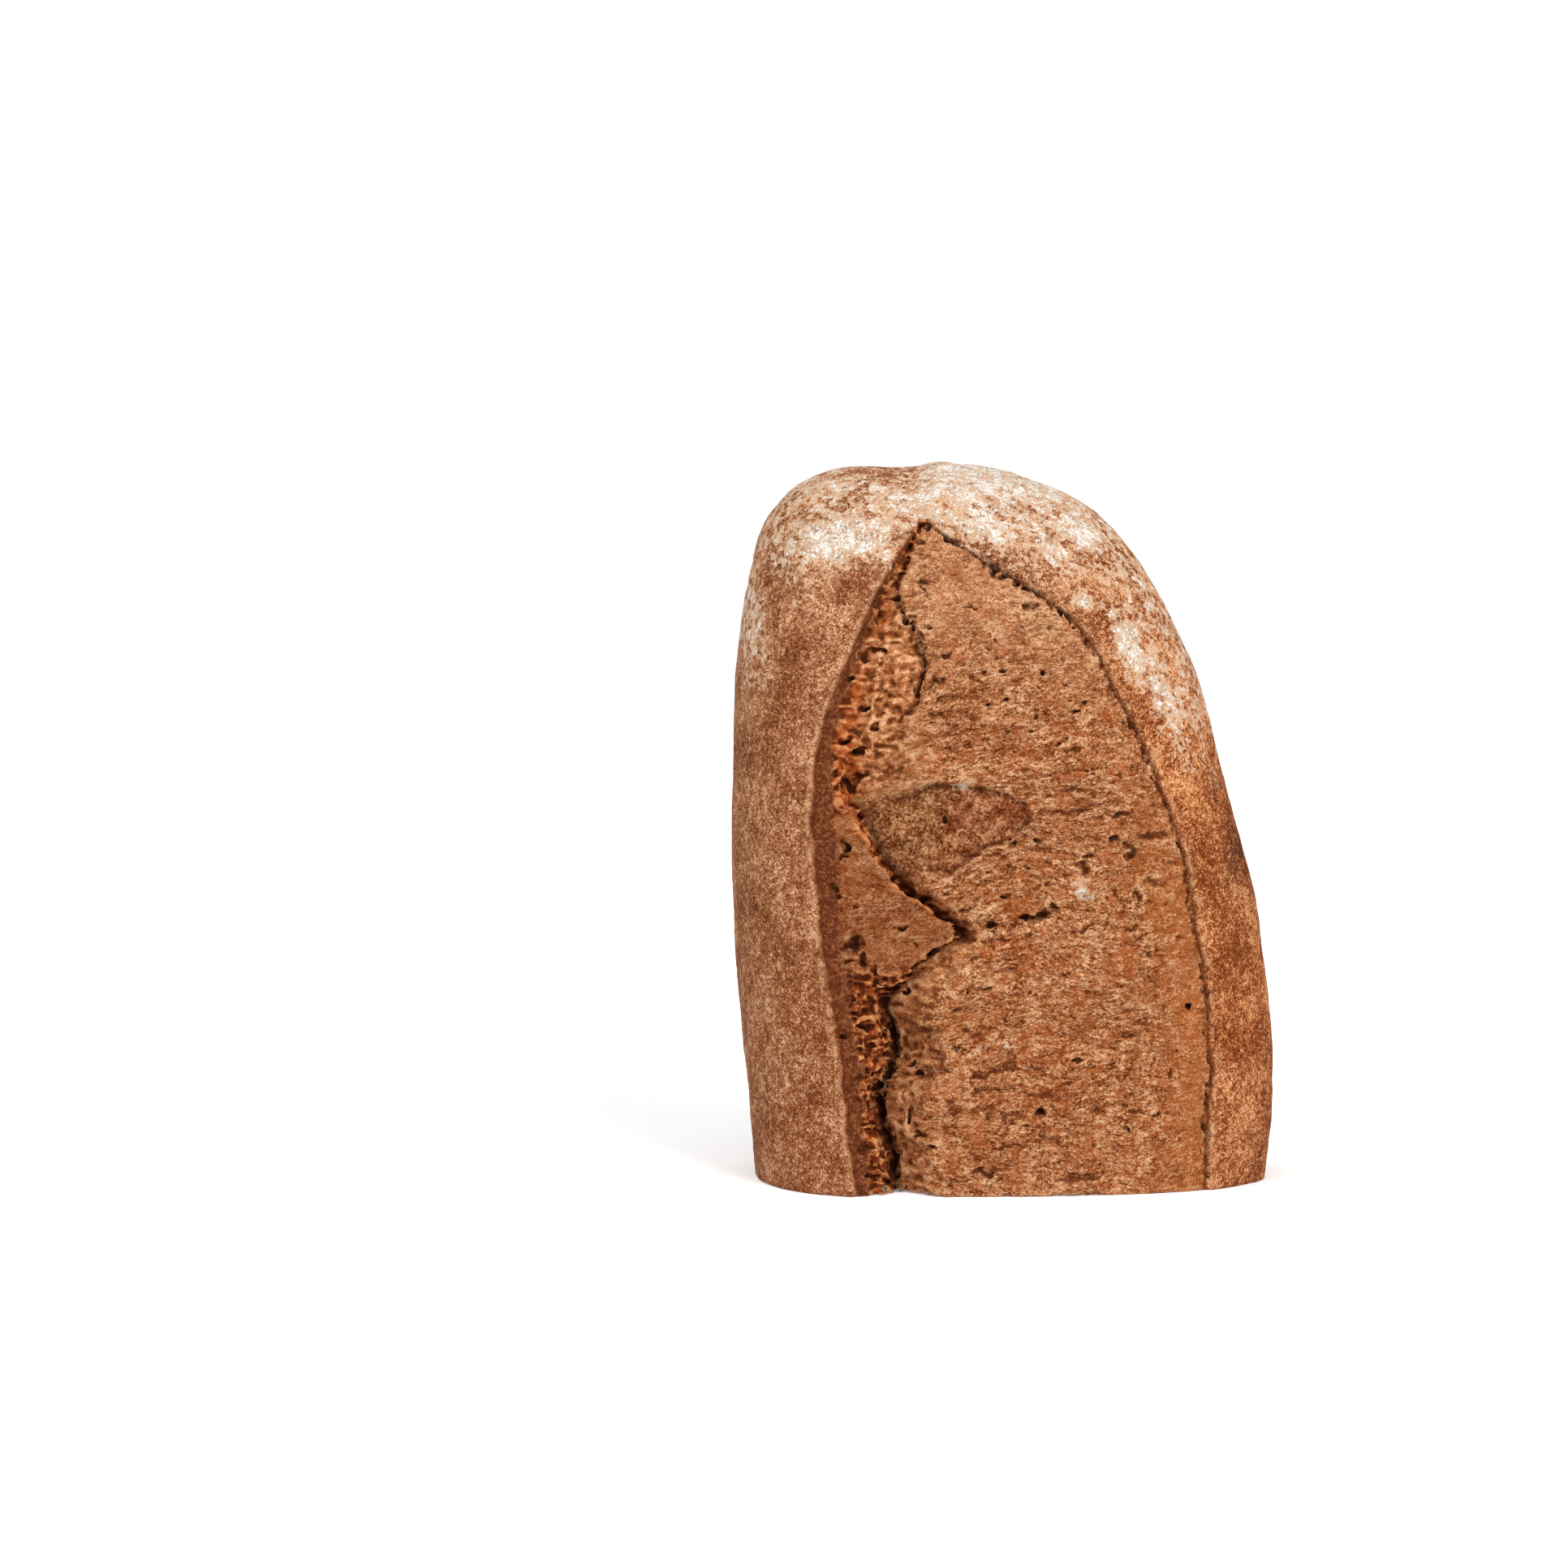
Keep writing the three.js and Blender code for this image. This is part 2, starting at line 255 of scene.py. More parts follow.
# Layers of smooth noise: seed, how far it moves things, and its size along x, y and height.
BUBBLE_UNEVEN = ((14, 0.8, 5, 5, 5), (15, 0.7, 1.8, 1.8, 1.8))
FIBRE_SWAY = ((11, 3.2, 18, 18, 14), (10, 1.5, 7, 7, 6))
FIBRE_JITTER = ((35, 1.0, 2.5, 2.5, 2),)
FIN_SWAY = ((43, 2.4, 3, 3, 3),)
HOLLOW_TWIST = ((48, 3.4, 3.6, 3.6, 3.6),)
CRUST_UNEVEN = ((21, 0.9, 13, 13, 13), (22, 0.35, 4, 4, 4), (23, 0.16, 1.8, 1.8, 1.8))
WARP_SEEDS = (51, 52, 53)
WARP_COARSE = (2.8, 3, 3, 3)
WARP_FINE = (1.5, 1.2, 1.2, 1.2)

CORNERS = tuple((n & 1, n >> 1 & 1, n >> 2 & 1) for n in range(8))


def smoothstep(value, low, high):
    t = np.clip((value - low) / (high - low), 0.0, 1.0)
    return t * t * (3.0 - 2.0 * t)


def fade(value, start, end):
    """1 up to start, falling smoothly to 0 at end."""
    return 1 - smoothstep(value, start, end)


def window(value, low, full, start, end):
    """0 up to low, 1 from full to start, and 0 again from end on."""
    return smoothstep(value, low, full) * fade(value, start, end)


def bell(*offsets):
    """1 in the middle, falling smoothly to 0; each offset is in widths of the bell."""
    return np.exp(-sum(offset**2 for offset in offsets))


def mix(a, b, t):
    return a + (b - a) * t


def curve(points, at):
    """Smooth curve through (at, value) pairs."""
    pairs = np.array(points, float)
    heights, values = pairs.T
    slopes = np.empty(len(values))
    slopes[1:-1] = (values[2:] - values[:-2]) / (heights[2:] - heights[:-2])
    slopes[0] = (values[1] - values[0]) / (heights[1] - heights[0])
    slopes[-1] = (values[-1] - values[-2]) / (heights[-1] - heights[-2])
    place = np.clip(at, heights[0], heights[-1])
    k = np.clip(np.searchsorted(heights, place, side="right") - 1, 0, len(values) - 2)
    span = heights[k + 1] - heights[k]
    rise = values[k + 1] - values[k]
    t = (place - heights[k]) / span
    a = slopes[k] * span - rise
    b = rise - slopes[k + 1] * span
    return values[k] + t * rise + t * (1 - t) * ((1 - t) * a + t * b)


def noise(seed, points, *sizes):
    """Smooth noise from 0 to 1 on a lattice of random numbers with steps of sizes."""
    rng = np.random.default_rng(seed)
    order = np.concatenate([rng.permutation(256)] * 2).astype(np.int32)
    values = rng.random(256).astype(np.float32)
    whole = []
    part = []
    for axis, size in zip(points, sizes):
        scaled = np.asarray(axis, np.float32) / np.float32(size)
        floor = np.floor(scaled)
        t = scaled - floor
        whole.append(floor.astype(np.int32) & 255)
        part.append(t * t * (3.0 - 2.0 * t))
    total = np.zeros_like(part[0])
    for corner in CORNERS:
        weight = np.ones_like(total)
        for step, t in zip(corner, part):
            weight = weight * (t if step else 1.0 - t)
        i, j, k = (w + step for w, step in zip(whole, corner))
        key = order[(order[(order[i & 255] + j) & 255] + k) & 255]
        total += weight * values[key]
    return total


def layers(points, rows):
    """Sum of layers of noise round zero."""
    return sum(reach * (noise(seed, points, *sizes) - 0.5) for seed, reach, *sizes in rows)


def ridged(value):
    return 1.0 - np.abs(2.0 * value - 1.0)


def finned(value):
    """Thin ridges at 0 with round hollows up to 1 between them."""
    return np.minimum(2.4 * np.abs(2.0 * value - 1.0), 1.0)


def section_curves():
    """Heights and the four reaches of the outline, along a smooth blend of SECTIONS."""
    rows = np.array(SECTIONS, float)
    before = 2 * rows[0] - rows[1]
    after = 2 * rows[-1] - rows[-2]
    after[0] = rows[-2][0]
    rows = np.vstack([before, rows, after])
    place = np.linspace(0, len(SECTIONS) - 1 - 1e-9, 6000)
    i = place.astype(int)
    t = (place - i)[:, None]
    p0, p1, p2, p3 = (rows[i + k] for k in range(4))
    blend = 2 * p1 + (p2 - p0) * t
    blend += (2 * p0 - 5 * p1 + 4 * p2 - p3) * t**2 + (3 * p1 - p0 - 3 * p2 + p3) * t**3
    return (0.5 * blend).T


HEIGHTS, *REACHES = section_curves()
TIP_X = SECTIONS[-1][1]
TIP_HEIGHT = SECTIONS[-1][0]


def swell(x, y, z):
    """Roughly how far a point is outside the smooth loaf; negative inside."""
    left, right, front, back = (np.interp(z, HEIGHTS, reach) for reach in REACHES)
    axis_x = np.clip(TIP_X, left, right)
    axis_y = np.clip(WAIST_Y, front, back)
    across = x - axis_x
    behind = y - axis_y
    side = np.maximum(np.where(across > 0, right - axis_x, axis_x - left), 1e-3)
    depth = np.maximum(np.where(behind < 0, axis_y - front, back - axis_y), 1e-3)
    frontness = -behind / np.maximum(np.hypot(across, behind), 1e-3)
    power = mix(BACK_ROUNDNESS, FRONT_ROUNDNESS, smoothstep(frontness, -0.25, 0.25)).astype(np.float32)
    ratio = (np.abs(across / side) ** power + np.abs(behind / depth) ** power) ** (1.0 / power)
    size = 0.5 * np.sqrt((right - left) * (back - front))
    return (size * (ratio - 1.0) + np.maximum(z - TIP_HEIGHT, 0.0)).astype(np.float32)


def wander(rng, reach, amount):
    """Slow random wander along a line that runs up the tear."""
    knots = np.arange(LEVELS[0], LEVELS[-1] + reach, reach)
    steps = rng.uniform(-amount, amount, len(knots))
    return curve(np.column_stack([knots, steps]), LEVELS)


def tear_lines():
    """Edges of the tear's cross-section and their depths, at every height of LEVELS."""
    rng = np.random.default_rng(SEED)
    opening = smoothstep(TEAR_TOP - LEVELS, 0, 12)
    lip_height = smoothstep(TEAR_TOP - LEVELS, 12, 45)
    lip = curve(LIP_LINE, LEVELS) + wander(rng, 5.0, 0.45) + wander(rng, 1.8, 0.2)
    ear = curve(EAR_LINE, LEVELS) + wander(rng, 6.0, 0.5) * opening + wander(rng, 2.2, 0.2)
    band = lip + LIP_STEP[0] + curve(BAND_WIDTH, LEVELS) + wander(rng, 3.0, 0.9) * opening
    floor = curve(FLOOR_LINE, LEVELS) + wander(rng, 4.0, 1.0) * opening
    rim = curve(RIM_LINE, LEVELS) + wander(rng, 3.5, 1.2) * opening
    edges = [lip, lip + LIP_STEP[0], band, floor, rim, ear - CREASE_REACH, ear, ear + 0.5 * CREASE_REACH]
    for i in range(1, len(edges)):
        edges[i] = np.maximum(edges[i], edges[i - 1] + MIN_STRETCH)
    depths = [
        -LIP_RAISE * lip_height,
        LIP_STEP[1] * mix(0.35, 1.0, lip_height) * opening,
        BAND_DEPTH * opening,
        curve(FLOOR_DEPTH, LEVELS),
        RIM_DEPTH * opening,
        SHEET_DEPTH * opening,
        curve(CREASE_DEPTH, LEVELS) * smoothstep(TEAR_TOP - LEVELS, 0, 4),
        -EAR_RAISE * opening,
    ]
    return edges, depths


EDGES, DEPTHS = tear_lines()
FALL = np.interp(LEVELS, *zip(*WALL_FALL))
SIDE = np.interp(LEVELS, *zip(*WALL_SIDE))
LEAN = np.interp(LEVELS, *zip(*WALL_LEAN))
LIP, STEP, BAND, FLOOR, RIM, SHEET, EAR, CRUST = range(8)


def at_height(line, height):
    return np.interp(height, LEVELS, line)


def edge_at(number, height):
    return at_height(EDGES[number], height)


def edges_at(height):
    return [at_height(line, height) for line in EDGES]


def teardrop_along(x):
    """0 at the left end of the large smooth bubble, 1 at its tip."""
    return np.clip((x - TEARDROP["left"]) / (TEARDROP["right"] - TEARDROP["left"]), 0, 1)


def teardrop_edge(x, z):
    """Roughly how far a point lies outside the large smooth bubble torn open by the valley."""
    along = teardrop_along(x)
    middle = mix(TEARDROP["low"], TEARDROP["high"], along)
    tall = TEARDROP["tall"] * np.sqrt(np.maximum(1.0 - along ** TEARDROP["bluntness"], 0.0))
    tall = tall + TEARDROP["spill"] * smoothstep(middle - z, 0.0, 3.0) * smoothstep(x, -6, -22)
    outside = np.maximum(np.abs(z - middle) - tall, x - TEARDROP["right"])
    return outside + layers((x, x, z), BUBBLE_UNEVEN)


def teardrop(x, z):
    """1 inside the bubble, 0 outside it; its edge is crisp on the right and soft on the left."""
    crisp_above = smoothstep(x, -31, -18) * smoothstep(x + z, 62, 76)
    crisp_below = smoothstep(z, 98, 94) * smoothstep(x, -20, -6)
    soft = mix(5.0, 0.6, crisp_above + crisp_below)
    return fade(teardrop_edge(x, z), -np.clip(soft, 0.6, 5.0), 0.3)


def teardrop_fold(x, z):
    """The thin raised fold below the bubble's right half and round its tip."""
    return bell((teardrop_edge(x, z) - 0.6) / 0.55) * smoothstep(x, -24, -10) * fade(z, 100, 104)


def teardrop_depth(x):
    return mix(TEARDROP["shallow"], TEARDROP["deep"], (1.0 - teardrop_along(x)) ** 1.8)


def tear_depth(x, z):
    """Depth of the front's large relief below the smooth loaf."""
    lip = edge_at(LIP, z)
    ear = edge_at(CRUST, z)
    left = at_height(DEPTHS[LIP], z) * np.exp(np.minimum(x - lip, 0) / LIP_REACH)
    right = at_height(DEPTHS[CRUST], z) * np.exp(np.minimum(ear - x, 0) / LIP_REACH)
    depth = np.where(x <= lip, left, right)
    for i in range(CRUST):
        start = edge_at(i, z)
        end = edge_at(i + 1, z)
        inside = (x > start) & (x <= end)
        if i == BAND:
            fall = np.minimum(at_height(FALL, z), end - start)
            start = mix(start, end - fall, at_height(SIDE, z))
            end = start + fall
        t = smoothstep(x, start, end)
        depth = np.where(inside, mix(at_height(DEPTHS[i], z), at_height(DEPTHS[i + 1], z), t), depth)
    pocket = teardrop(x, z) * (x > edge_at(FLOOR, z))
    depth = mix(depth, teardrop_depth(x), pocket)
    return np.where(z > TEAR_TOP, 0.0, depth)


def zones(x, z):
    """Soft masks of the front's zones: the tear, its wall, its torn sheet, the flap, the ledge."""
    edge = edges_at(z)
    tear = window(x, edge[LIP], edge[STEP], edge[EAR], edge[CRUST]) * fade(z, TEAR_TOP - 1.0, TEAR_TOP)
    sheet = smoothstep(x, edge[FLOOR] + 1.0, edge[RIM] + 1.0) * tear
    wall = smoothstep(x, edge[BAND] - 0.8, edge[BAND] + 0.4) * (tear - sheet)
    flap = window(z, *FLAP["heights"]) * wall
    flap = flap * fade(x, edge[FLOOR] - 2 * FLAP["edge"], edge[FLOOR] - FLAP["edge"])
    ledge = wall * smoothstep(x, edge[FLOOR] - 0.8, edge[FLOOR] + 0.8) * fade(z, *LEDGE_END)
    return tear, wall, sheet, flap, ledge


def fibre_rise(x, y, z):
    """Height across the torn fibres, which run almost level and fan out by the flap."""
    fan = bell((x - FAN["x"]) / FAN["wide"], (z - FAN["z"]) / FAN["tall"])
    across = np.clip(x - FAN["from"], -FAN["reach"], FAN["reach"])
    tilt = STREAKS["tilt"] + STREAKS["more"] * bell((z - STREAKS["z"]) / STREAKS["tall"])
    return z - tilt * x - FAN["tilt"] * fan * across + layers((x, y, z), FIBRE_SWAY)


def fibre_relief(x, y, z):
    """Torn fibres and flakes: long and low, with a few small steps between them."""
    along = (x, y, fibre_rise(x, y, z) + layers((x, y, z), FIBRE_JITTER))
    rough = smoothstep(noise(37, (x, y, z), 17, 17, 13), 0.25, 0.75)
    rough = rough + 0.5 * bell((z - FAN["z"]) / 20) - 0.2 * smoothstep(z, 135, 160)
    depth = 0.35 * ridged(noise(31, along, 4.6, 4.0, 1.3))
    depth += 0.3 * finned(noise(38, along, 4.6, 4.0, 1.5))
    depth += 0.35 * ridged(noise(32, along, 1.9, 1.7, 0.8))
    torn = noise(33, along, 8.0, 6.0, 2.4)
    depth += 0.45 * smoothstep(torn, 0.57, 0.60) + 0.4 * smoothstep(torn, 0.71, 0.74)
    depth -= 0.45 * smoothstep(noise(36, along, 6.0, 5.0, 1.8), 0.67, 0.73)
    return np.clip(rough, 0.2, 1.15) * (depth - 0.7)


def fins(x, y, sway, z):
    """Thin level fins with deep gaps between them."""
    depth = 3.4 * finned(noise(41, (x, y, sway), 5.5, 14.0, 1.9))
    depth += 1.4 * finned(noise(42, (x, y, sway), 2.4, 6.0, 1.2))
    depth += 1.2 * smoothstep(noise(44, (x, y, sway), 5.0, 4.0, 2.8), 0.52, 0.57) - 2.4
    return depth * mix(1.0, 0.7, smoothstep(z, 60, 100))


def wide_hollows(x, y, sway, twist):
    """Wide shallow hollows with ragged rims."""
    depth = 1.1 * finned(noise(45, (x + twist, y, sway + twist), 6.5, 12.0, 8.0)) - 1.4
    depth += 1.4 * finned(noise(46, (x + twist, y, sway), 3.2, 6.0, 2.4))
    depth += 0.7 * ridged(noise(47, (x, y, sway), 1.6, 3.0, 1.2))
    return 0.55 * depth


def ragged_relief(x, y, z):
    """The torn walls: fins low down, hollows high up, past the band."""
    past_band = smoothstep(x - edge_at(BAND, z), 3.0, 7.0)
    high = smoothstep(z, 100, 122) * past_band
    sway = z + layers((x, y, z), FIN_SWAY)
    twist = layers((x, y, z), HOLLOW_TWIST)
    return mix(fins(x, y, sway, z), wide_hollows(x, y, sway, twist), high)


def cleft(x, y, z):
    """Depth of the cleft that runs back over the loaf's end from the tip of the tear."""
    across = bell((x - CLEFT["x"]) / np.where(x < CLEFT["x"], CLEFT["left"], CLEFT["right"]))
    reach = smoothstep(z, CLEFT["low"], CLEFT["high"]) * smoothstep(CLEFT["end_y"] - y, 0, CLEFT["fade"])
    return CLEFT["depth"] * across * reach


def crust_relief(x, y, z):
    """The crust's unevenness, with a puckered patch on the left shoulder."""
    puckered = bell((x - WRINKLES["x"]) / WRINKLES["wide"], (z - WRINKLES["z"]) / WRINKLES["tall"])
    wrinkles = WRINKLES["depth"] * ridged(noise(24, (x, y, z), 4.0, 4.0, 2.2)) * puckered
    return layers((x, y, z), CRUST_UNEVEN) + wrinkles


def relief(x, y, z, skin_x, skin_z, front, below):
    """Depth of the whole surface below the smooth loaf."""
    points = (x, y, z)
    tear, wall, sheet, flap, ledge = (zone * front for zone in zones(skin_x, skin_z))
    bend = noise(12, points, 3.2, 3.2, 1.6) + 0.5 * noise(13, points, 1.4, 1.4, 0.9) - 0.75
    bendable = np.clip(wall + sheet, 0, 1) * smoothstep(skin_x, -60, -40) * fade(skin_x, 10, 16)
    lean = at_height(LEAN, skin_z) * (np.clip(below, LEAN_FROM, LEAN_TO) - LEAN_FROM)
    bent_x = skin_x + bendable * (2.0 * bend + lean)
    depth = tear_depth(bent_x, skin_z) * front
    depth += cleft(x, y, z)
    depth += (1.0 - tear) * crust_relief(x, y, z)

    floor = edge_at(FLOOR, skin_z)
    torn_edge = bell((skin_x - edge_at(RIM, skin_z) - 0.6) / 0.8) * fade(z, *TORN_EDGE_END)
    depth -= 0.6 * torn_edge * front
    smooth = teardrop(skin_x, skin_z) * (sheet + wall) * smoothstep(skin_x, floor - 0.6, floor + 0.6)
    depth -= 1.2 * teardrop_fold(skin_x, skin_z) * sheet
    fibrous = np.clip(sheet + 0.4 * flap + ledge, 0, 1) * (1.0 - 0.8 * smooth)
    depth += fibrous * fibre_relief(x, y, z)
    depth += sheet * 1.3 * (noise(34, points, 18, 18, 12) - 0.5)
    calm = 0.7 * bell((skin_z - 110) / 10) * smoothstep(skin_x, -45, -39)
    ragged = np.clip(wall - flap - ledge, 0, 1) * (1.0 - 0.8 * smooth) * (1.0 - calm)
    return depth + ragged * ragged_relief(x, y, z)


class Bread:
    """The loaf as a field on a grid: positive inside, zero on the surface."""

    def __init__(self, low, high):
        ends = [(a - MARGIN, b + MARGIN) for a, b in zip(low, high)]
        self.axes = [np.arange(start, end, CELL, dtype=np.float32) for start, end in ends]
        self.start = np.array([axis[0] for axis in self.axes])
        x, y, z = np.meshgrid(*self.axes, indexing="ij", sparse=True)
        outside = swell(x, y, z)
        slope = np.gradient(outside, CELL)
        steepness = np.sqrt(sum(part * part for part in slope)) + 1e-6
        self.depth = np.clip(-outside / steepness, -FAR, FAR)
        self.skin_x = x + slope[0] / steepness * self.depth
        self.skin_z = z + slope[2] / steepness * self.depth
        self.front = (y < WAIST_Y) & (slope[1] < 0)
        self.field = self.depth.copy()
        torn = self.front & (self.skin_x > EDGES[LIP].min()) & (self.skin_x < EDGES[CRUST].max())
        self.torn = torn & (self.depth < DEEPEST) & (self.depth > -OUTSIDE)
        self.warp = self.make_warp(x, y, z)
        self.carve_relief(x, y, z)

    def make_warp(self, x, y, z):
        """Small shifts that make the outlines of bubbles uneven."""
        near = self.torn | ((z < CRUMB_REACH) & (self.depth > 0))
        points = [np.broadcast_to(axis, near.shape)[near] for axis in (x, y, z)]
        shifts = []
        for seed in WARP_SEEDS:
            shift = np.zeros(near.shape, np.float32)
            shift[near] = layers(points, ((seed, *WARP_COARSE), (seed + 10, *WARP_FINE)))
            shifts.append(shift)
        return shifts

    def carve_relief(self, x, y, z):
        near = ((self.depth < SHELL) & (self.depth > -OUTSIDE)) | self.torn
        x, y, z = (np.broadcast_to(axis, near.shape)[near] for axis in (x, y, z))
        skin = (self.skin_x[near], self.skin_z[near], self.front[near].astype(np.float32))
        self.field[near] -= relief(x, y, z, *skin, self.depth[near]).astype(np.float32)

    def carve(self, centre, radii, turn):
        """Cuts an ellipsoid out of the loaf. turn's rows are the ellipsoid's own axes."""
        centre = np.asarray(centre, float)
        reach = np.abs(turn.T) @ np.asarray(radii) + CELL
        low = np.maximum(np.floor((centre - reach - self.start) / CELL).astype(int), 0)
        high = np.minimum(np.ceil((centre + reach - self.start) / CELL).astype(int) + 1, self.field.shape)
        if (high <= low).any():
            return
        box = tuple(slice(a, b) for a, b in zip(low, high))
        local = [axis[part] - c for axis, part, c in zip(self.axes, box, centre)]
        offsets = np.meshgrid(*local, indexing="ij", sparse=True)
        dx, dy, dz = (offset + shift[box] for offset, shift in zip(offsets, self.warp))
        total = 0.0
        for axis, radius in zip(turn, radii):
            total = total + ((axis[0] * dx + axis[1] * dy + axis[2] * dz) / radius) ** 2
        gap = (np.sqrt(total) - 1.0) * min(radii)
        np.minimum(self.field[box], gap, out=self.field[box])

    def carve_front(self, x, z, sunk, radii, tilt=0.0):
        """Cuts a bubble into the front at x and z, its middle sunk below the smooth loaf."""
        point, out = front_point(x, z)
        self.carve(point - out * sunk, radii, surface_frame(out, tilt))

    def sample(self, grid, points):
        """Values of a grid array between its cells."""
        place = (points - self.start) / CELL
        cell = np.clip(np.floor(place).astype(int), 0, np.array(grid.shape) - 2)
        part = place - cell
        total = 0.0
        for corner in CORNERS:
            weight = np.prod(np.where(corner, part, 1 - part), axis=1)
            total = total + weight * grid[tuple((cell + corner).T)]
        return total


def front_point(x, z):
    """Point of the smooth loaf's front at x and z, and its outward direction."""
    left, right, front, back = (np.interp(z, HEIGHTS, reach) for reach in REACHES)
    axis_y = np.clip(WAIST_Y, front, back)
    side = right - TIP_X if x > TIP_X else TIP_X - left
    share = min(abs(x - TIP_X) / side, 0.995)
    y = axis_y - (axis_y - front) * (1 - share**FRONT_ROUNDNESS) ** (1 / FRONT_ROUNDNESS)
    step = 0.05
    here = swell(x, y, z)
    slope = [swell(x + step, y, z) - here, swell(x, y + step, z) - here, swell(x, y, z + step) - here]
    out = np.array(slope, float)
    return np.array([x, y, z]), out / np.linalg.norm(out)


def surface_frame(out, tilt):
    """Axes of a bubble that lies in the surface: along, up and out of it."""
    along = np.cross([0.0, 0.0, 1.0], out)
    along /= np.linalg.norm(along)
    up = np.cross(out, along)
    lean = along * math.cos(tilt) + up * math.sin(tilt)
    return np.array([lean, np.cross(out, lean), out])


def tear_floor(x, z):
    return tear_depth(np.array([x]), np.array([z]))[0]


def single_holes(bread):
    """The holes that stand out one by one, in the torn sheet and in the valley."""
    for x, z, wide, tall, deep in PITS + GAPS:
        bread.carve_front(x, z, tear_floor(x, z) - 0.2, (wide, tall, deep), 0.1)


def ledge_crevice(bread):
    """The crevice below the torn sheet's overhanging edge, in the upper valley."""
    rng = np.random.default_rng(SEED + 4)
    for z in np.arange(136.0, 164.0, 2.2):
        x = edge_at(RIM, z) + rng.uniform(-0.6, 0.6)
        bread.carve_front(x, z, 4.2, (rng.uniform(0.8, 1.5), rng.uniform(1.2, 2.4), 2.6))


def ear_crack(bread):
    """The crack below the crust's edge on the right: open near the top, in short pits below."""
    rng = np.random.default_rng(SEED + 5)
    for z in np.arange(4.0, 181.0, 1.7):
        wide = rng.uniform(0.35, 0.7) + 0.7 * smoothstep(z, 150, 172)
        x = edge_at(EAR, z) - 0.5 + rng.uniform(-0.4, 0.3)
        if rng.random() > 0.75:
            continue
        radii = (wide, rng.uniform(1.0, 2.2), rng.uniform(0.8, 1.6) + wide)
        bread.carve_front(x, z, tear_floor(x, z) - 0.3, radii)


def torn_bubbles(bread):
    """Small, long and shallow bubbles torn open in the sheet."""
    rng = np.random.default_rng(SEED + 1)
    for _ in range(TORN_BUBBLES):
        z = rng.uniform(0.5, TEAR_TOP - 6)
        x = rng.uniform(edge_at(RIM, z) + 1, edge_at(SHEET, z))
        tilt = rng.normal(0.12, 0.2)
        size = rng.random() ** 3
        spread = rng.random(3)
        if teardrop(x, z) > 0.3:
            continue
        radius = 0.5 + 0.75 * size
        radii = (radius * (1.5 + 2.5 * spread[0]), radius * (0.7 + 0.3 * spread[1]), radius)
        bread.carve_front(x, z, tear_floor(x, z) + radius * (0.35 - 0.5 * spread[2]), radii, tilt)


def wall_pockets(bread):
    """Bubbles torn open in the ragged wall, drawn out sideways, most of them low down."""
    rng = np.random.default_rng(SEED + 2)
    share = curve(POCKET_SHARE, LEVELS)
    flap_low, _, _, flap_high = FLAP["heights"]
    for _ in range(WALL_POCKETS):
        z = rng.uniform(0.5, TEAR_TOP - 6)
        band, floor = (edge_at(i, z) for i in (BAND, FLOOR))
        x = mix(band - 0.2, floor + 0.5, rng.random() ** 1.2)
        size = rng.random() ** 2
        spread = rng.random(4)
        tilt = rng.normal(0.0, 0.4)
        on_flap = flap_low < z < flap_high and band + 3 < x
        if spread[3] > at_height(share, z) or teardrop(x, z) > 0.3 or on_flap:
            continue
        radius = 0.65 + 1.1 * size
        radii = (radius * (1.2 + 1.3 * spread[0]), radius * (0.6 + 0.4 * spread[1]), radius * 1.4)
        sunk = rng.uniform(-0.2, 0.8) * radius
        bread.carve_front(x, z, tear_floor(x, z) + sunk, radii, tilt)


def crumb_bubbles(bread):
    """Bubbles of the open crumb, cut through by the flat cut face and kept apart."""
    rng = np.random.default_rng(SEED + 3)
    low_x, high_x, low_y, high_y = SECTIONS[0][1:]
    placed = np.zeros((0, 3))
    for count, small, large in CRUMB_BUBBLES:
        for _ in range(count):
            radius = rng.uniform(small, large)
            x = rng.uniform(low_x, high_x)
            y = rng.uniform(low_y, high_y)
            squash = rng.uniform(0.5, 0.9)
            turn = rng.normal(0.0, 0.5)
            height = rng.uniform(-0.45, 0.5) * radius * squash
            room = bread.sample(bread.depth, np.array([[x, y, 0.3]]))[0]
            if room < CRUST_THICKNESS * min(1.0, 0.35 + 0.2 * radius) + radius * squash:
                continue
            apart = np.hypot(placed[:, 0] - x, placed[:, 1] - y) - placed[:, 2] * 0.85 - radius * 0.8
            if len(apart) and apart.min() < 0:
                continue
            placed = np.vstack([placed, [x, y, radius]])
            c, s = math.cos(turn), math.sin(turn)
            axes = np.array([[c, s, 0], [-s, c, 0], [0, 0, 1.0]])
            bread.carve((x, y, height), (radius, radius * squash, radius * (0.6 + 0.3 * squash)), axes)


def cut_off(bread):
    """Cuts the loaf flat at height 0, leaving the bubbles that the knife opened."""
    height = bread.axes[2][None, None, :]
    uneven = 0.10 * np.sin(bread.axes[0] * 0.9)[:, None, None] * np.sin(bread.axes[1] * 0.7)[None, :, None]
    np.minimum(bread.field, height - np.abs(uneven), out=bread.field)


# ---------------------------------------------------------------- from field to mesh


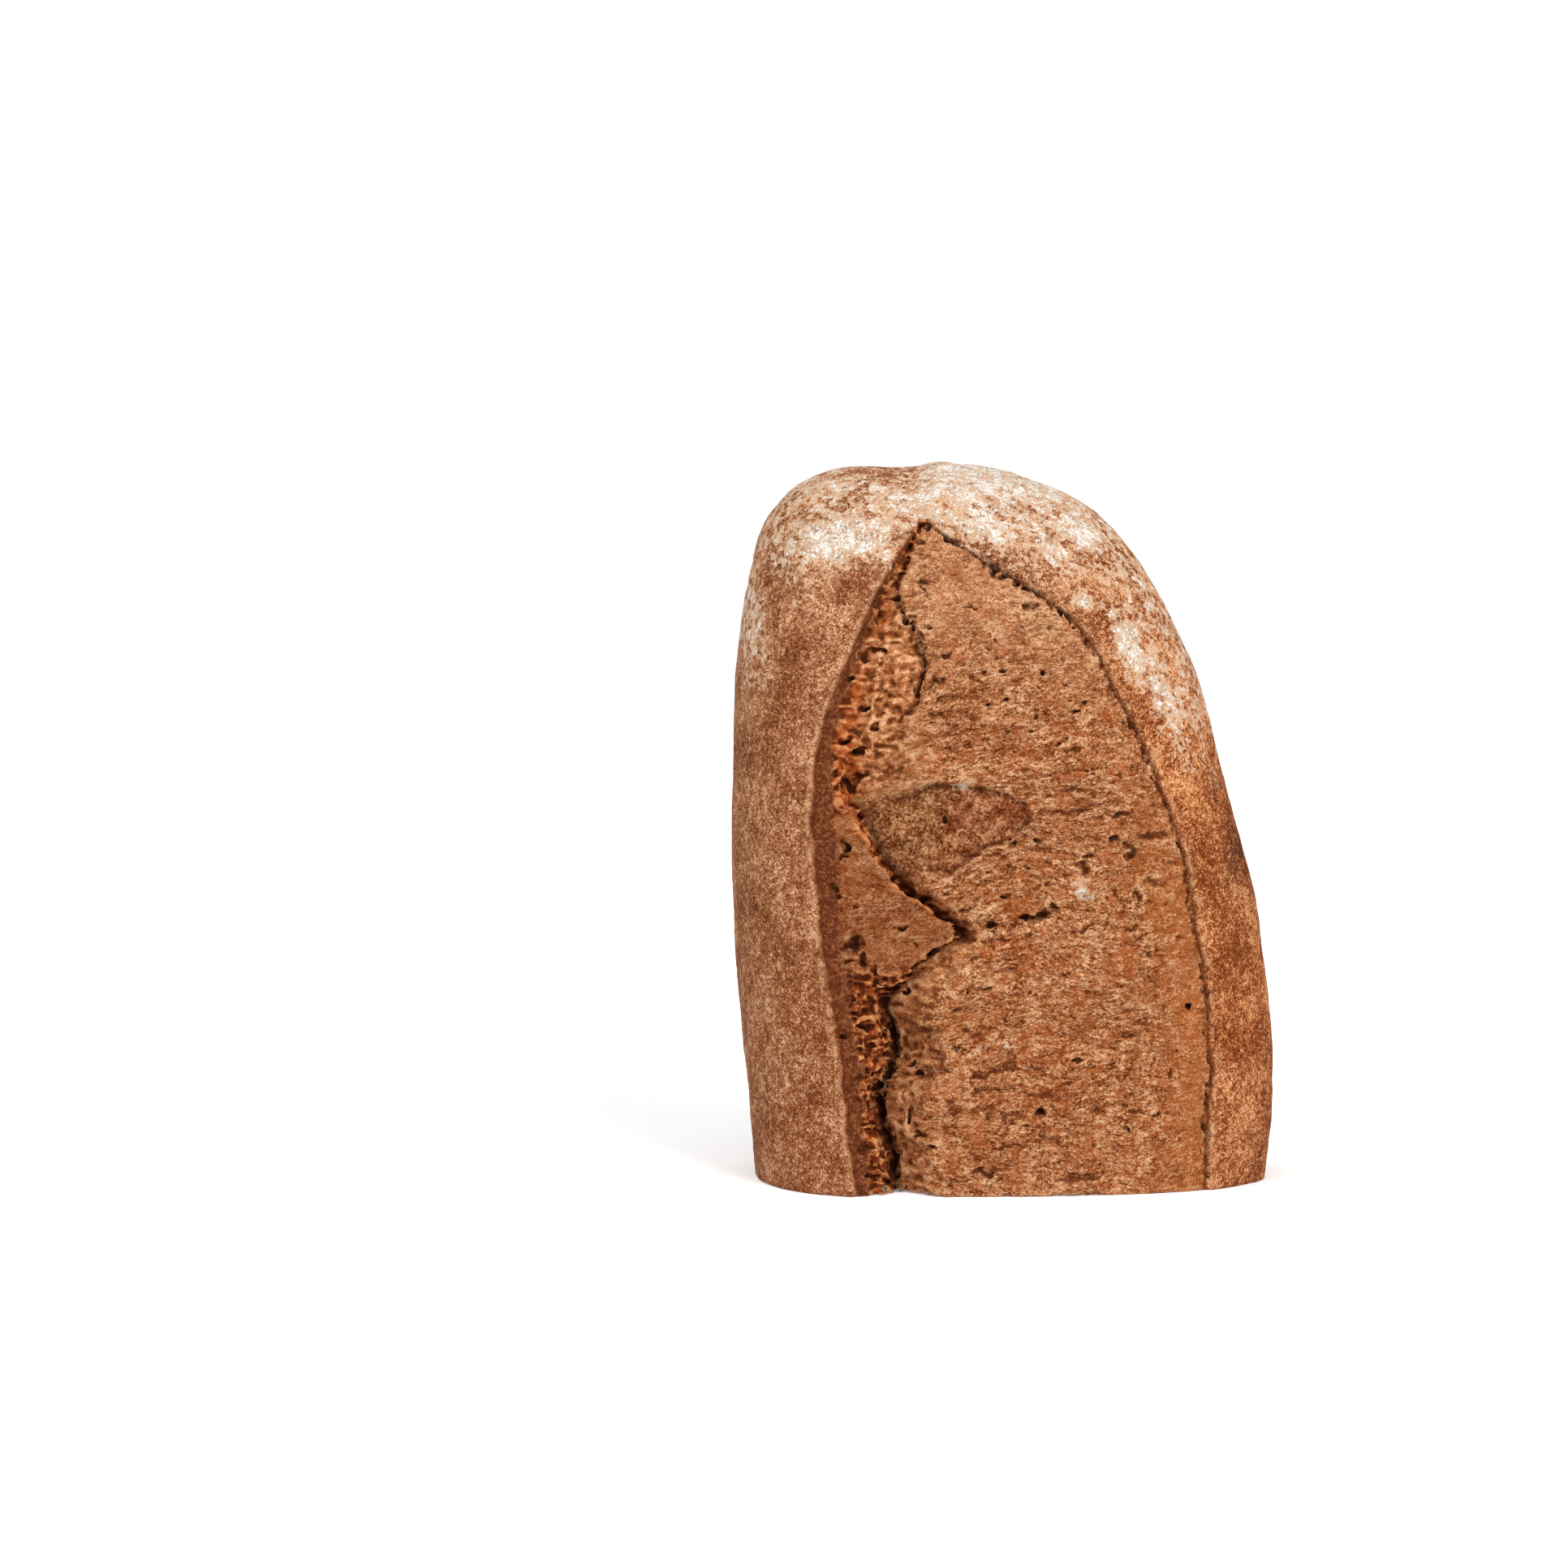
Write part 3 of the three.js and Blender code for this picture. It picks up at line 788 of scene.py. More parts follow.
def surface_nets(field):
    """Vertices, in cells, and quads of the field's zero surface."""
    inside = field > 0
    low = tuple(slice(0, n - 1) for n in field.shape)
    mixed = np.zeros(tuple(n - 1 for n in field.shape), bool)
    first = inside[low]
    for corner in CORNERS[1:]:
        view = tuple(slice(step, n - 1 + step) for step, n in zip(corner, field.shape))
        mixed |= inside[view] != first
    cells = np.argwhere(mixed)
    number = np.full(mixed.shape, -1, np.int32)
    number[mixed] = np.arange(len(cells), dtype=np.int32)
    total = np.zeros((len(cells), 3))
    count = np.zeros(len(cells))
    for axis in range(3):
        others = [a for a in range(3) if a != axis]
        for corner in range(4):
            start = np.zeros(3, int)
            start[others[0]] = corner & 1
            start[others[1]] = corner >> 1
            end = start.copy()
            end[axis] = 1
            a = field[tuple((cells + start).T)]
            b = field[tuple((cells + end).T)]
            crossed = (a > 0) != (b > 0)
            share = np.where(crossed, a / np.where(crossed, a - b, 1.0), 0.0)
            place = start + share[:, None] * (end - start)
            total += np.where(crossed[:, None], place, 0.0)
            count += crossed
    vertices = cells + total / count[:, None]
    quads = [crossing_quads(inside, number, axis) for axis in range(3)]
    return vertices, np.concatenate(quads)


def crossing_quads(inside, number, axis):
    """One quad round each grid edge along axis that the surface crosses."""
    b, c = (axis + 1) % 3, (axis + 2) % 3
    here = [slice(1, n - 1) for n in inside.shape]
    there = list(here)
    there[axis] = slice(2, inside.shape[axis])
    start = inside[tuple(here)]
    end = inside[tuple(there)]
    at = np.argwhere(start != end) + 1
    leaving = start[start != end]
    corners = []
    for step_b, step_c in ((-1, -1), (0, -1), (0, 0), (-1, 0)):
        cell = at.copy()
        cell[:, b] += step_b
        cell[:, c] += step_c
        corners.append(number[tuple(cell.T)])
    quads = np.column_stack(corners)
    quads[~leaving] = quads[~leaving][:, ::-1]
    return quads


def largest_piece(vertices, quads):
    """Drops loose crumbs and sealed hollows: all but the largest connected surface."""
    label = np.arange(len(vertices))
    pairs = np.concatenate([quads[:, (0, 1)], quads[:, (1, 2)], quads[:, (2, 3)]])
    while True:
        lowest = np.minimum(label[pairs[:, 0]], label[pairs[:, 1]])
        before = label.copy()
        np.minimum.at(label, label[pairs[:, 0]], lowest)
        np.minimum.at(label, label[pairs[:, 1]], lowest)
        label = label[label]
        if (label == before).all():
            break
    kept = label == np.bincount(label).argmax()
    renumber = np.cumsum(kept) - 1
    return vertices[kept], renumber[quads[kept[quads[:, 0]]]]


def add_object(name, data):
    added = bpy.data.objects.new(name, data)
    bpy.context.scene.collection.objects.link(added)
    return added


def make_mesh(vertices, quads):
    mesh = bpy.data.meshes.new(NODE)
    mesh.vertices.add(len(vertices))
    mesh.vertices.foreach_set("co", (vertices * MM).astype(np.float32).ravel())
    mesh.loops.add(quads.size)
    mesh.loops.foreach_set("vertex_index", quads.astype(np.int32).ravel())
    mesh.polygons.add(len(quads))
    mesh.polygons.foreach_set("loop_start", np.arange(0, quads.size, 4, dtype=np.int32))
    mesh.update(calc_edges=True)
    return mesh


def thin_out(piece, faces):
    """Merges the faces of smooth places until about as many triangles are left as faces says."""
    triangles = 2 * len(piece.data.polygons)
    modifier = piece.modifiers.new("thin_out", "DECIMATE")
    modifier.ratio = min(1.0, faces / triangles)
    modifier.use_collapse_triangulate = True
    evaluated = piece.evaluated_get(bpy.context.evaluated_depsgraph_get())
    thinned = bpy.data.meshes.new_from_object(evaluated)
    piece.modifiers.clear()
    full = piece.data
    piece.data = thinned
    bpy.data.meshes.remove(full)


def mesh_points(mesh):
    flat = np.empty(len(mesh.vertices) * 3, np.float32)
    mesh.vertices.foreach_get("co", flat)
    return flat.reshape(-1, 3).astype(float)


def keep_in(mesh, low, high):
    """Moves the points that lie outside a box onto its sides."""
    points = np.clip(mesh_points(mesh), low * MM, high * MM)
    mesh.vertices.foreach_set("co", points.astype(np.float32).ravel())
    mesh.update()


# ---------------------------------------------------------------- masks for the material


def write_layer(mesh, name, values):
    layer = mesh.attributes.new(name, "FLOAT", "POINT")
    layer.data.foreach_set("value", values.astype(np.float32))


def hollows(mesh, points, rounds):
    """How far each vertex lies below its surroundings; negative on ridges."""
    ends = np.empty(len(mesh.edges) * 2, np.int32)
    mesh.edges.foreach_get("vertices", ends)
    a, b = ends.reshape(-1, 2).T
    count = len(points)
    degree = np.bincount(a, minlength=count) + np.bincount(b, minlength=count)
    smooth = points.copy()
    for _ in range(rounds):
        for axis in range(3):
            along = smooth[:, axis]
            total = np.bincount(a, along[b], count) + np.bincount(b, along[a], count)
            smooth[:, axis] = total / degree
    normals = np.empty(count * 3, np.float32)
    mesh.vertex_normals.foreach_get("vector", normals)
    return ((smooth - points) * normals.reshape(-1, 3)).sum(axis=1)


def flour_patches(x, y, z):
    """Thick patches of flour on the crust."""
    total = np.zeros(len(x))
    for centre_x, centre_z, wide, tall, turn, strength in FLOUR:
        c, s = math.cos(math.radians(turn)), math.sin(math.radians(turn))
        along = ((x - centre_x) * c + (z - centre_z) * s) / wide
        across = ((z - centre_z) * c - (x - centre_x) * s) / tall
        total = np.maximum(total, strength * np.exp(-1.1 * (along**2 + across**2) ** 1.4))
    return total * fade(y, 6, 16)


def flour_veil(x, y, z):
    """The thin veil of flour on the loaf's end and shoulders, and down its right side."""
    saddle = bell((x + 33) / 12) * smoothstep(z, 190, 195)
    top = (smoothstep(z, 158, 184) + 0.5 * smoothstep(z, 184, 192)) * fade(y, 8, 26)
    top = top * (1 - 0.3 * smoothstep(x, -20, -45))
    left = 0.8 * smoothstep(x, -64, -73) * smoothstep(z, 130, 165)
    veil = 0.6 * np.maximum(top, left) * (1 - 0.65 * saddle)
    edge_x = np.interp(z, HEIGHTS, REACHES[1])
    right = smoothstep(x, edge_x - 26, edge_x - 6) * smoothstep(z, 100, 140) * fade(y, 0, 20)
    return np.maximum(veil, 0.45 * right)


def flour_specks(x, z):
    """Small clumps of flour that fell on the torn face."""
    clumps = [bell(np.hypot(x - at_x, z - at_z) / radius) for at_x, at_z, radius in FLOUR_SPECKS]
    return 0.85 * np.maximum.reduce(clumps)


def tear_masks(x, z, front):
    """Masks of the torn face, at places x and z of the smooth skin."""
    tear, wall, sheet, flap, ledge = (zone * front for zone in zones(x, z))
    lip, step, band, floor, rim, _, ear, crust = edges_at(z)
    brown = window(z, *BROWN_HEIGHTS) * window(x, -47, -38, rim - 1, rim + 1.5) * tear
    by_floor = window(z, *FIN_HEIGHTS) * window(x, floor - 5, floor - 2, floor + 0.5, floor + 1.5) * wall
    by_band = window(z, *BAND_FIN_HEIGHTS) * window(x, band - 0.5, band + 0.5, band + 3, band + 6)
    by_rim = bell((x - rim - 0.8) / 1.2) * fade(z, *TORN_EDGE_END) * tear
    # Painted shade in the crack beside the flap's edge and in the slot low in the valley.
    crack = 0.8 * bell((x - floor - 0.9) / 1.3) * window(z, *CRACK_HEIGHTS)
    slot_shade = bell((x - floor + 0.2) / 1.9) * fade(z, *SLOT_END)
    shadow = window(z, *SHADOW_HEIGHTS) * window(x, floor - 0.5, floor + 0.5, floor + 2, floor + 9)
    # Painted highlights along the crust's raised edges at the lip and the ear.
    lip_highlight = bell((x - lip + 0.2) / 0.35)
    ear_highlight = bell((x - crust - 0.3) / 0.35)
    # Painted shade on the steep walls below the lip's step and the ear's edge.
    lip_wall_shade = bell((x - step) / 0.5) * (z < TEAR_TOP - 12)
    ear_wall_shade = bell((x - ear - 0.2) / 0.6) * (z < TEAR_TOP)
    return {
        "tear": tear,
        "wall": wall,
        "sheet": sheet,
        "flap": flap,
        "band": (tear - wall - sheet) * smoothstep(x, step - 0.3, step + 0.2),
        "teardrop": teardrop(x, z) * np.clip(sheet + wall, 0, 1) * smoothstep(x, floor - 0.6, floor + 0.6),
        "shade": fade(x, -24, -12),
        "brown": np.maximum(ledge, brown),
        "low": wall * (1 - ledge) * smoothstep(z, 64, 54),
        "fin": np.maximum.reduce([by_floor, 0.75 * by_band, by_rim, 0.8 * teardrop_fold(x, z) * sheet]),
        "crack": np.maximum(crack, slot_shade) * front,
        "shadow": shadow * front,
        "orange": smoothstep(x, ear - 18, ear - 4) * fade(z, 70, 120) * sheet,
        "pale": smoothstep(z, 126, 168) * sheet,
        "edge": np.maximum(lip_highlight, ear_highlight) * front * (z < TEAR_TOP),
        "step": np.maximum(lip_wall_shade, ear_wall_shade) * front,
    }


def crust_masks(x, y, z):
    """Masks of the crust's colours from place to place, and of painted shade on its lower left."""
    toasted = 0.95 * bell((x - TOASTED["x"]) / TOASTED["wide"], (z - TOASTED["z"]) / TOASTED["tall"])
    scorched = bell((x - SCORCHED["x"]) / SCORCHED["wide"], (z - SCORCHED["z"]) / SCORCHED["tall"])
    # Painted shade on the lower left of the crust, joined with the toasted patch's mask.
    left_foot_shade = 0.45 * smoothstep(x, -40, -60) * smoothstep(z, 90, 30)
    return {
        "base": smoothstep(y, 27, 33),
        "scorched": scorched * bell((y - SCORCHED["y"]) / SCORCHED["thick"]),
        "toast_and_shade": np.maximum(toasted, left_foot_shade),
        "warm": 0.85 * smoothstep(x, 5, 45) * (1 - 0.3 * smoothstep(z, 50, 15)),
    }


def paint_masks(mesh, bread, whole):
    """Masks for the material: where the mesh is crust, torn, crumb, floury or hollow."""
    points = mesh_points(mesh) / MM
    x, y, z = points.T
    skin_x = bread.sample(bread.skin_x, points)
    skin_z = bread.sample(bread.skin_z, points)
    front = bread.sample(bread.front.astype(np.float32), points) > 0.5
    masks = tear_masks(skin_x, skin_z, front) | crust_masks(x, y, z)
    flour = np.maximum(flour_patches(skin_x, y, skin_z), flour_veil(skin_x, y, skin_z))
    masks["flour"] = np.maximum(flour * (1 - masks["tear"]), flour_specks(skin_x, skin_z) * front)
    masks["crevice"] = 0.5 + hollows(mesh, points, 3) / 0.5
    masks["hollow"] = 0.5 + hollows(mesh, points, 24) / 3.0
    masks["cut"] = smoothstep(bread.sample(whole, points), 0.35, 0.9)
    masks["rim"] = fade(bread.sample(bread.depth, points), 0.8, CRUST_THICKNESS)
    for name, values in masks.items():
        write_layer(mesh, name, np.clip(values, 0, 1))
    write_layer(mesh, "rise", fibre_rise(x, y, z) * MM)


def make_loaf():
    low, high = (np.array(corner) / MM for corner in cad_box)
    bread = Bread(low, high)
    for carve in (single_holes, ledge_crevice, ear_crack, torn_bubbles, wall_pockets):
        carve(bread)
    whole = bread.field.copy()
    crumb_bubbles(bread)
    cut_off(bread)
    vertices, quads = largest_piece(*surface_nets(bread.field))
    mesh = make_mesh(np.clip(vertices * CELL + bread.start, low, high), quads)
    piece = add_object("loaf_crust_and_crumb", mesh)
    thin_out(piece, FACES)
    keep_in(piece.data, low, high)
    piece.data.polygons.foreach_set("use_smooth", [True] * len(piece.data.polygons))
    paint_masks(piece.data, bread, whole)
    return piece


# ---------------------------------------------------------------- the material


class Graph:
    """A small builder of shader nodes."""

    def __init__(self, name):
        self.material = bpy.data.materials.new(name)
        self.material.use_nodes = True
        self.tree = self.material.node_tree
        self.shader = self.tree.nodes["Principled BSDF"]
        self.coordinates = self.node("TexCoord").outputs["Object"]

    def node(self, kind):
        return self.tree.nodes.new("ShaderNode" + kind)

    def link(self, source, socket):
        if isinstance(source, bpy.types.NodeSocket):
            self.tree.links.new(source, socket)
        else:
            socket.default_value = source

    def mask(self, name):
        node = self.node("Attribute")
        node.attribute_name = name
        return node.outputs["Fac"]

    def math(self, operation, a, b=0.0):
        node = self.node("Math")
        node.operation = operation
        self.link(a, node.inputs[0])
        self.link(b, node.inputs[1])
        return node.outputs[0]

    def times(self, a, b):
        return self.math("MULTIPLY", a, b)

    def plus(self, a, b):
        return self.math("ADD", a, b)

    def along_fibres(self, stretch):
        """Coordinates drawn out along the torn fibres."""
        apart = self.node("SeparateXYZ")
        self.link(self.coordinates, apart.inputs["Vector"])
        joined = self.node("CombineXYZ")
        for axis in "XY":
            self.link(self.math("DIVIDE", apart.outputs[axis], stretch), joined.inputs[axis])
        self.link(self.mask("rise"), joined.inputs["Z"])
        return joined.outputs["Vector"]

    def texture(self, kind, size, vector=None):
        node = self.node("Tex" + kind)
        node.inputs["Scale"].default_value = 1.0 / (size * MM)
        self.link(vector or self.coordinates, node.inputs["Vector"])
        return node

    def noise(self, size, detail=2.0, vector=None, roughness=0.55):
        node = self.texture("Noise", size, vector)
        node.inputs["Detail"].default_value = detail
        node.inputs["Roughness"].default_value = roughness
        return node.outputs["Fac"]

    def ragged(self, vector, size, amount):
        """Coordinates shifted to and fro, so that what is drawn by them has ragged edges."""
        centred = self.node("VectorMath")
        centred.operation = "SUBTRACT"
        centred.inputs[1].default_value = (0.5, 0.5, 0.5)
        self.link(self.texture("Noise", size).outputs["Color"], centred.inputs[0])
        shifted = self.node("VectorMath")
        shifted.operation = "MULTIPLY_ADD"
        shifted.inputs[1].default_value = (amount * MM,) * 3
        self.link(centred.outputs[0], shifted.inputs[0])
        self.link(vector, shifted.inputs[2])
        return shifted.outputs[0]

    def flakes(self, size, vector=None):
        """A random value for each small flake."""
        vector = self.ragged(vector or self.coordinates, 0.8 * size, 0.9 * size)
        node = self.texture("Voronoi", size, vector)
        parts = self.node("SeparateColor")
        self.link(node.outputs["Color"], parts.inputs["Color"])
        return parts.outputs["Red"]

    def cells(self, size, vector=None, feature="F1"):
        node = self.texture("Voronoi", size, vector)
        node.feature = feature
        return node.outputs["Distance"]

    def span(self, value, low, high, start=0.0, end=1.0):
        node = self.node("MapRange")
        node.interpolation_type = "SMOOTHSTEP"
        for name, number in (("From Min", low), ("From Max", high), ("To Min", start), ("To Max", end)):
            node.inputs[name].default_value = number
        self.link(value, node.inputs["Value"])
        return node.outputs["Result"]

    def blend(self, factor, a, b):
        node = self.node("Mix")
        node.data_type = "RGBA"
        for name, source in (("Factor", factor), ("A", a), ("B", b)):
            self.link(source, node.inputs[name])
        return node.outputs["Result"]

    def ramp(self, value, *stops):
        """Colours along a value; each stop is its place and a display colour."""
        node = self.node("ValToRGB")
        elements = node.color_ramp.elements
        while len(elements) < len(stops):
            elements.new(0.5)
        for element, (place, *colour) in zip(elements, stops):
            element.position = place
            element.color = rgb(*colour)
        self.link(value, node.inputs["Fac"])
        return node.outputs["Color"]

    def layered(self, *patterns):
        """Sum of patterns, each with its weight, spread out round one half."""
        total = 0.5
        for pattern, weight in patterns:
            total = self.plus(total, self.times(self.math("SUBTRACT", pattern, 0.5), weight))
        return total

    def bump(self, height, distance):
        node = self.node("Bump")
        node.inputs["Distance"].default_value = distance * MM
        self.link(height, node.inputs["Height"])
        return node.outputs["Normal"]


def rgb(red, green, blue):
    """Linear colour of a display colour of 0 to 255."""
    parts = [channel / 255 for channel in (red, green, blue)]
    linear = [c / 12.92 if c <= 0.04045 else ((c + 0.055) / 1.055) ** 2.4 for c in parts]
    return (*linear, 1.0)


def crust_colour(g):
    fine = g.noise(0.42, 3.0, roughness=0.65)
    coarse = ((g.noise(2.2), 0.4), (g.noise(14.0), 0.6))
    grain = g.layered((g.flakes(0.55), 0.34), (fine, 1.5), (g.flakes(1.5), 0.16), *coarse)
    crust = g.ramp(
        grain,
        (0.14, 82, 38, 14),
        (0.37, 126, 70, 40),
        (0.52, 156, 97, 61),
        (0.67, 188, 131, 92),
        (0.87, 232, 190, 150),
    )
    warm = g.ramp(grain, (0.24, 88, 34, 6), (0.49, 162, 82, 35), (0.77, 238, 170, 112))
    crust = g.blend(g.mask("warm"), crust, warm)
    flecks = g.cells(2.1, g.ragged(g.coordinates, 0.6, 1.3))
    flecks = g.times(g.span(flecks, 0.30, 0.16), g.span(g.noise(3.5), 0.44, 0.6, 0.0, 0.4))
    crust = g.blend(flecks, crust, rgb(226, 182, 142))
    mottled = g.span(g.plus(grain, g.noise(5.0, 3.0)), 1.25, 0.85, 0.15, 0.95)
    # Darker mottling: the toasted patch on the right, and painted shade on the lower left.
    crust = g.blend(g.times(g.mask("toast_and_shade"), mottled), crust, rgb(112, 48, 12))
    scorched = g.times(g.mask("scorched"), g.span(mottled, 0.1, 0.7, 0.4, 0.9))
    crust = g.blend(scorched, crust, rgb(74, 30, 12))
    crust = g.blend(g.mask("base"), crust, base_colour(g))
    # Painted highlight: pale broken lines along the crust's raised edges at the lip and the ear.
    edges = g.times(g.mask("edge"), g.span(g.noise(2.5, 3.0), 0.42, 0.60, 0.0, 0.6))
    return g.blend(edges, crust, rgb(222, 176, 136))


def base_colour(g):
    """The flat side that lay on the oven's floor."""
    fine = g.noise(0.7, 4.0, roughness=0.6)
    grain = g.layered((fine, 0.8), (g.noise(4.0, 3.0), 0.6), (g.noise(22.0), 0.8))
    return g.ramp(grain, (0.25, 112, 62, 32), (0.50, 150, 94, 56), (0.75, 190, 138, 96))


def shaded_by_relief(g, grain, strength):
    """The grain with painted light from the relief: a painted highlight where the surface stands proud and
    painted shade where it is sunk.
    """
    return g.plus(grain, g.times(g.math("SUBTRACT", 0.5, g.mask("crevice")), strength))


def hairlines(g, size, level, thin, vector, places):
    """Thin winding lines where a noise crosses a level, only in some places."""
    across = g.math("ABSOLUTE", g.math("SUBTRACT", g.noise(size, 3.0, vector), level))
    return g.times(g.span(across, *thin), places)


def sheet_colour(g):
    short = g.along_fibres(1.6)
    long = g.along_fibres(2.8)
    fine = g.noise(0.42, 3.0, short, 0.65)
    coarse = ((g.noise(1.2, 3.0, long), 1.0), (g.noise(6.0), 0.7))
    grain = g.layered((g.flakes(0.5, short), 0.42), (fine, 1.8), *coarse)
    grain = g.plus(grain, g.times(g.mask("pale"), 0.07))
    # The sheet's ramp takes painted highlights and shade from the relief.
    sheet = g.ramp(
        shaded_by_relief(g, grain, 0.3),
        (0.14, 92, 38, 10),
        (0.34, 138, 74, 34),
        (0.50, 170, 102, 59),
        (0.66, 202, 136, 89),
        (0.88, 242, 192, 146),
    )
    redder = g.span(g.noise(2.0, 4.0, short), 0.50, 0.66, 0.0, 0.5)
    sheet = g.blend(redder, sheet, rgb(180, 88, 42))
    sheet = g.blend(g.span(g.noise(7.0, 3.0), 0.48, 0.62, 0.0, 0.3), sheet, rgb(186, 100, 46))
    threads = hairlines(g, 1.8, 0.5, (0.022, 0.006), short, g.span(g.noise(4.0), 0.44, 0.58, 0.1, 0.5))
    sheet = g.blend(threads, sheet, rgb(230, 178, 134))
    cracks = hairlines(g, 2.6, 0.46, (0.016, 0.004), short, g.span(g.noise(6.0), 0.48, 0.60, 0.0, 0.65))
    sheet = g.blend(cracks, sheet, rgb(84, 36, 12))
    sheet = g.blend(g.times(g.mask("orange"), 0.4), sheet, rgb(192, 108, 50))
    return g.blend(g.times(g.mask("pale"), 0.16), sheet, rgb(230, 172, 126))


def wall_colour(g):
    strands = g.along_fibres(1.8)
    fine = g.noise(0.45, 3.0, roughness=0.65)
    coarse = ((g.noise(1.6, 3.0, strands), 0.9), (g.noise(7.0), 0.6))
    grain = g.layered((g.flakes(0.6, strands), 0.3), (fine, 1.1), *coarse)
    # The wall's ramp takes painted highlights and shade from the relief.
    wall = g.ramp(
        g.math("SUBTRACT", shaded_by_relief(g, grain, 0.9), g.times(g.mask("low"), 0.16)),
        (0.14, 62, 24, 6),
        (0.36, 120, 58, 24),
        (0.52, 156, 84, 42),
        (0.68, 196, 122, 70),
        (0.88, 234, 170, 112),
    )
    wall = g.blend(g.span(g.noise(2.0, 3.0), 0.44, 0.60, 0.0, 0.5), wall, rgb(164, 74, 32))
    # The brown ramp takes painted highlights and shade from the relief.
    brown = g.ramp(
        shaded_by_relief(g, grain, 0.6),
        (0.14, 90, 42, 14),
        (0.40, 148, 90, 50),
        (0.60, 186, 122, 76),
        (0.88, 238, 184, 136),
    )
    brown = g.blend(g.span(g.noise(1.8, 3.0), 0.50, 0.64, 0.0, 0.5), brown, rgb(172, 88, 44))
    wall = g.blend(g.mask("brown"), wall, brown)
    edges = g.times(g.mask("fin"), g.span(g.noise(1.6, 3.0), 0.36, 0.56, 0.1, 0.55))
    return g.blend(edges, wall, rgb(186, 88, 36))


def teardrop_colour(g):
    fine = g.noise(0.7, 4.0, roughness=0.7)
    grain = g.layered((g.flakes(0.6), 0.35), (fine, 1.7), (g.noise(3.0, 3.0), 1.3))
    # The left half takes the darker, more olive ramp: painted shade where it faces away from the key
    # light, with some olive tone of its own.
    near = g.ramp(grain, (0.14, 94, 38, 12), (0.48, 156, 86, 48), (0.88, 226, 166, 120))
    far = g.ramp(grain, (0.14, 76, 36, 12), (0.48, 152, 90, 50), (0.88, 226, 172, 122))
    return g.blend(g.mask("shade"), near, far)


def band_colour(g):
    grain = g.layered((g.flakes(0.7), 0.35), (g.noise(0.5, 4.0, roughness=0.7), 0.9))
    return g.ramp(grain, (0.22, 74, 32, 14), (0.50, 104, 50, 26), (0.80, 156, 98, 62))


def crumb_colour(g):
    soft = g.layered((g.noise(0.8, 3.0), 0.7), (g.noise(2.5, 3.0), 0.8), (g.noise(12.0), 0.5))
    crumb = g.ramp(soft, (0.25, 146, 116, 86), (0.50, 190, 164, 132), (0.75, 222, 204, 178))
    pores = g.span(g.cells(1.1), 0.42, 0.16)
    crumb = g.blend(g.times(pores, 0.5), crumb, rgb(132, 102, 76))
    bran = g.span(g.noise(0.7, 1.0), 0.66, 0.74)
    return g.blend(bran, crumb, rgb(150, 86, 48))


def floured(g, colour):
    """The colour with flour over it: a flecked veil, and white clumps with a few fine cracks."""
    amount = g.mask("flour")
    grain = g.noise(0.5, 4.0, roughness=0.7)
    clumps = g.layered((g.flakes(1.6), 0.6), (g.flakes(0.7), 0.35), (grain, 1.2), (g.noise(4.5, 3.0), 1.2))
    cover = g.plus(clumps, amount)
    veil = g.times(g.span(cover, 0.82, 1.02, 0.0, 0.75), g.span(amount, 0.0, 0.12))
    colour = g.blend(veil, colour, rgb(224, 186, 152))
    lines = g.cells(5.0, g.ragged(g.coordinates, 2.0, 3.0), "DISTANCE_TO_EDGE")
    whole = g.span(lines, 0.0, 0.06, 0.15, 1.0)
    thick = g.times(g.span(cover, 1.22, 1.34, 0.0, 0.92), whole)
    dusty = g.layered((g.noise(0.8, 4.0, roughness=0.75), 1.3), (g.noise(4.0), 0.5))
    flour = g.ramp(dusty, (0.30, 132, 92, 62), (0.42, 204, 186, 164), (0.56, 240, 237, 230))
    return g.blend(thick, colour, flour)


def torn_colour(g):
    """The torn face: its sheet, wall, flap, large bubble and band, with painted shade where it is sunk, in
    its crack and slot, beside the flap's edge and below the crust's edges.
    """
    sheet = sheet_colour(g)
    torn = g.blend(g.math("MAXIMUM", g.mask("wall"), g.mask("brown")), sheet, wall_colour(g))
    torn = g.blend(g.times(g.mask("flap"), 0.8), torn, g.blend(0.42, sheet, rgb(108, 44, 12)))
    torn = g.blend(g.mask("teardrop"), torn, teardrop_colour(g))
    # Painted shade in the small crevices and the deeper hollows of the torn face.
    torn = g.blend(g.span(g.mask("crevice"), 0.62, 1.0, 0.0, 0.6), torn, rgb(84, 38, 18))
    torn = g.blend(g.span(g.mask("hollow"), 0.60, 1.0, 0.0, 0.85), torn, rgb(52, 24, 12))
    torn = g.blend(g.times(g.mask("shadow"), 0.45), torn, rgb(92, 44, 20))
    # Painted shade in the crack and the slot.
    torn = g.blend(g.times(g.mask("crack"), 0.9), torn, rgb(40, 17, 8))
    torn = g.blend(g.mask("band"), torn, band_colour(g))
    # Painted shade on the steep walls below the crust's edges at the lip and the ear.
    return g.blend(g.times(g.mask("step"), 0.68), torn, rgb(74, 30, 12))


def fine_relief(g):
    """Normals of the finest grain, drawn out along the fibres on the torn face."""
    torn_face = g.math("MAXIMUM", g.mask("sheet"), g.mask("flap"))
    flakes = g.span(g.noise(1.4, 3.0, g.along_fibres(2.2)), 0.45, 0.53, 0.0, 0.5)
    fibres = g.plus(g.times(g.noise(0.6, 4.0, g.along_fibres(2.4), 0.65), 1.6), flakes)
    height = g.plus(g.times(fibres, torn_face), g.times(g.noise(0.6, 4.0, roughness=0.65), 0.8))
    return g.bump(height, 0.8)


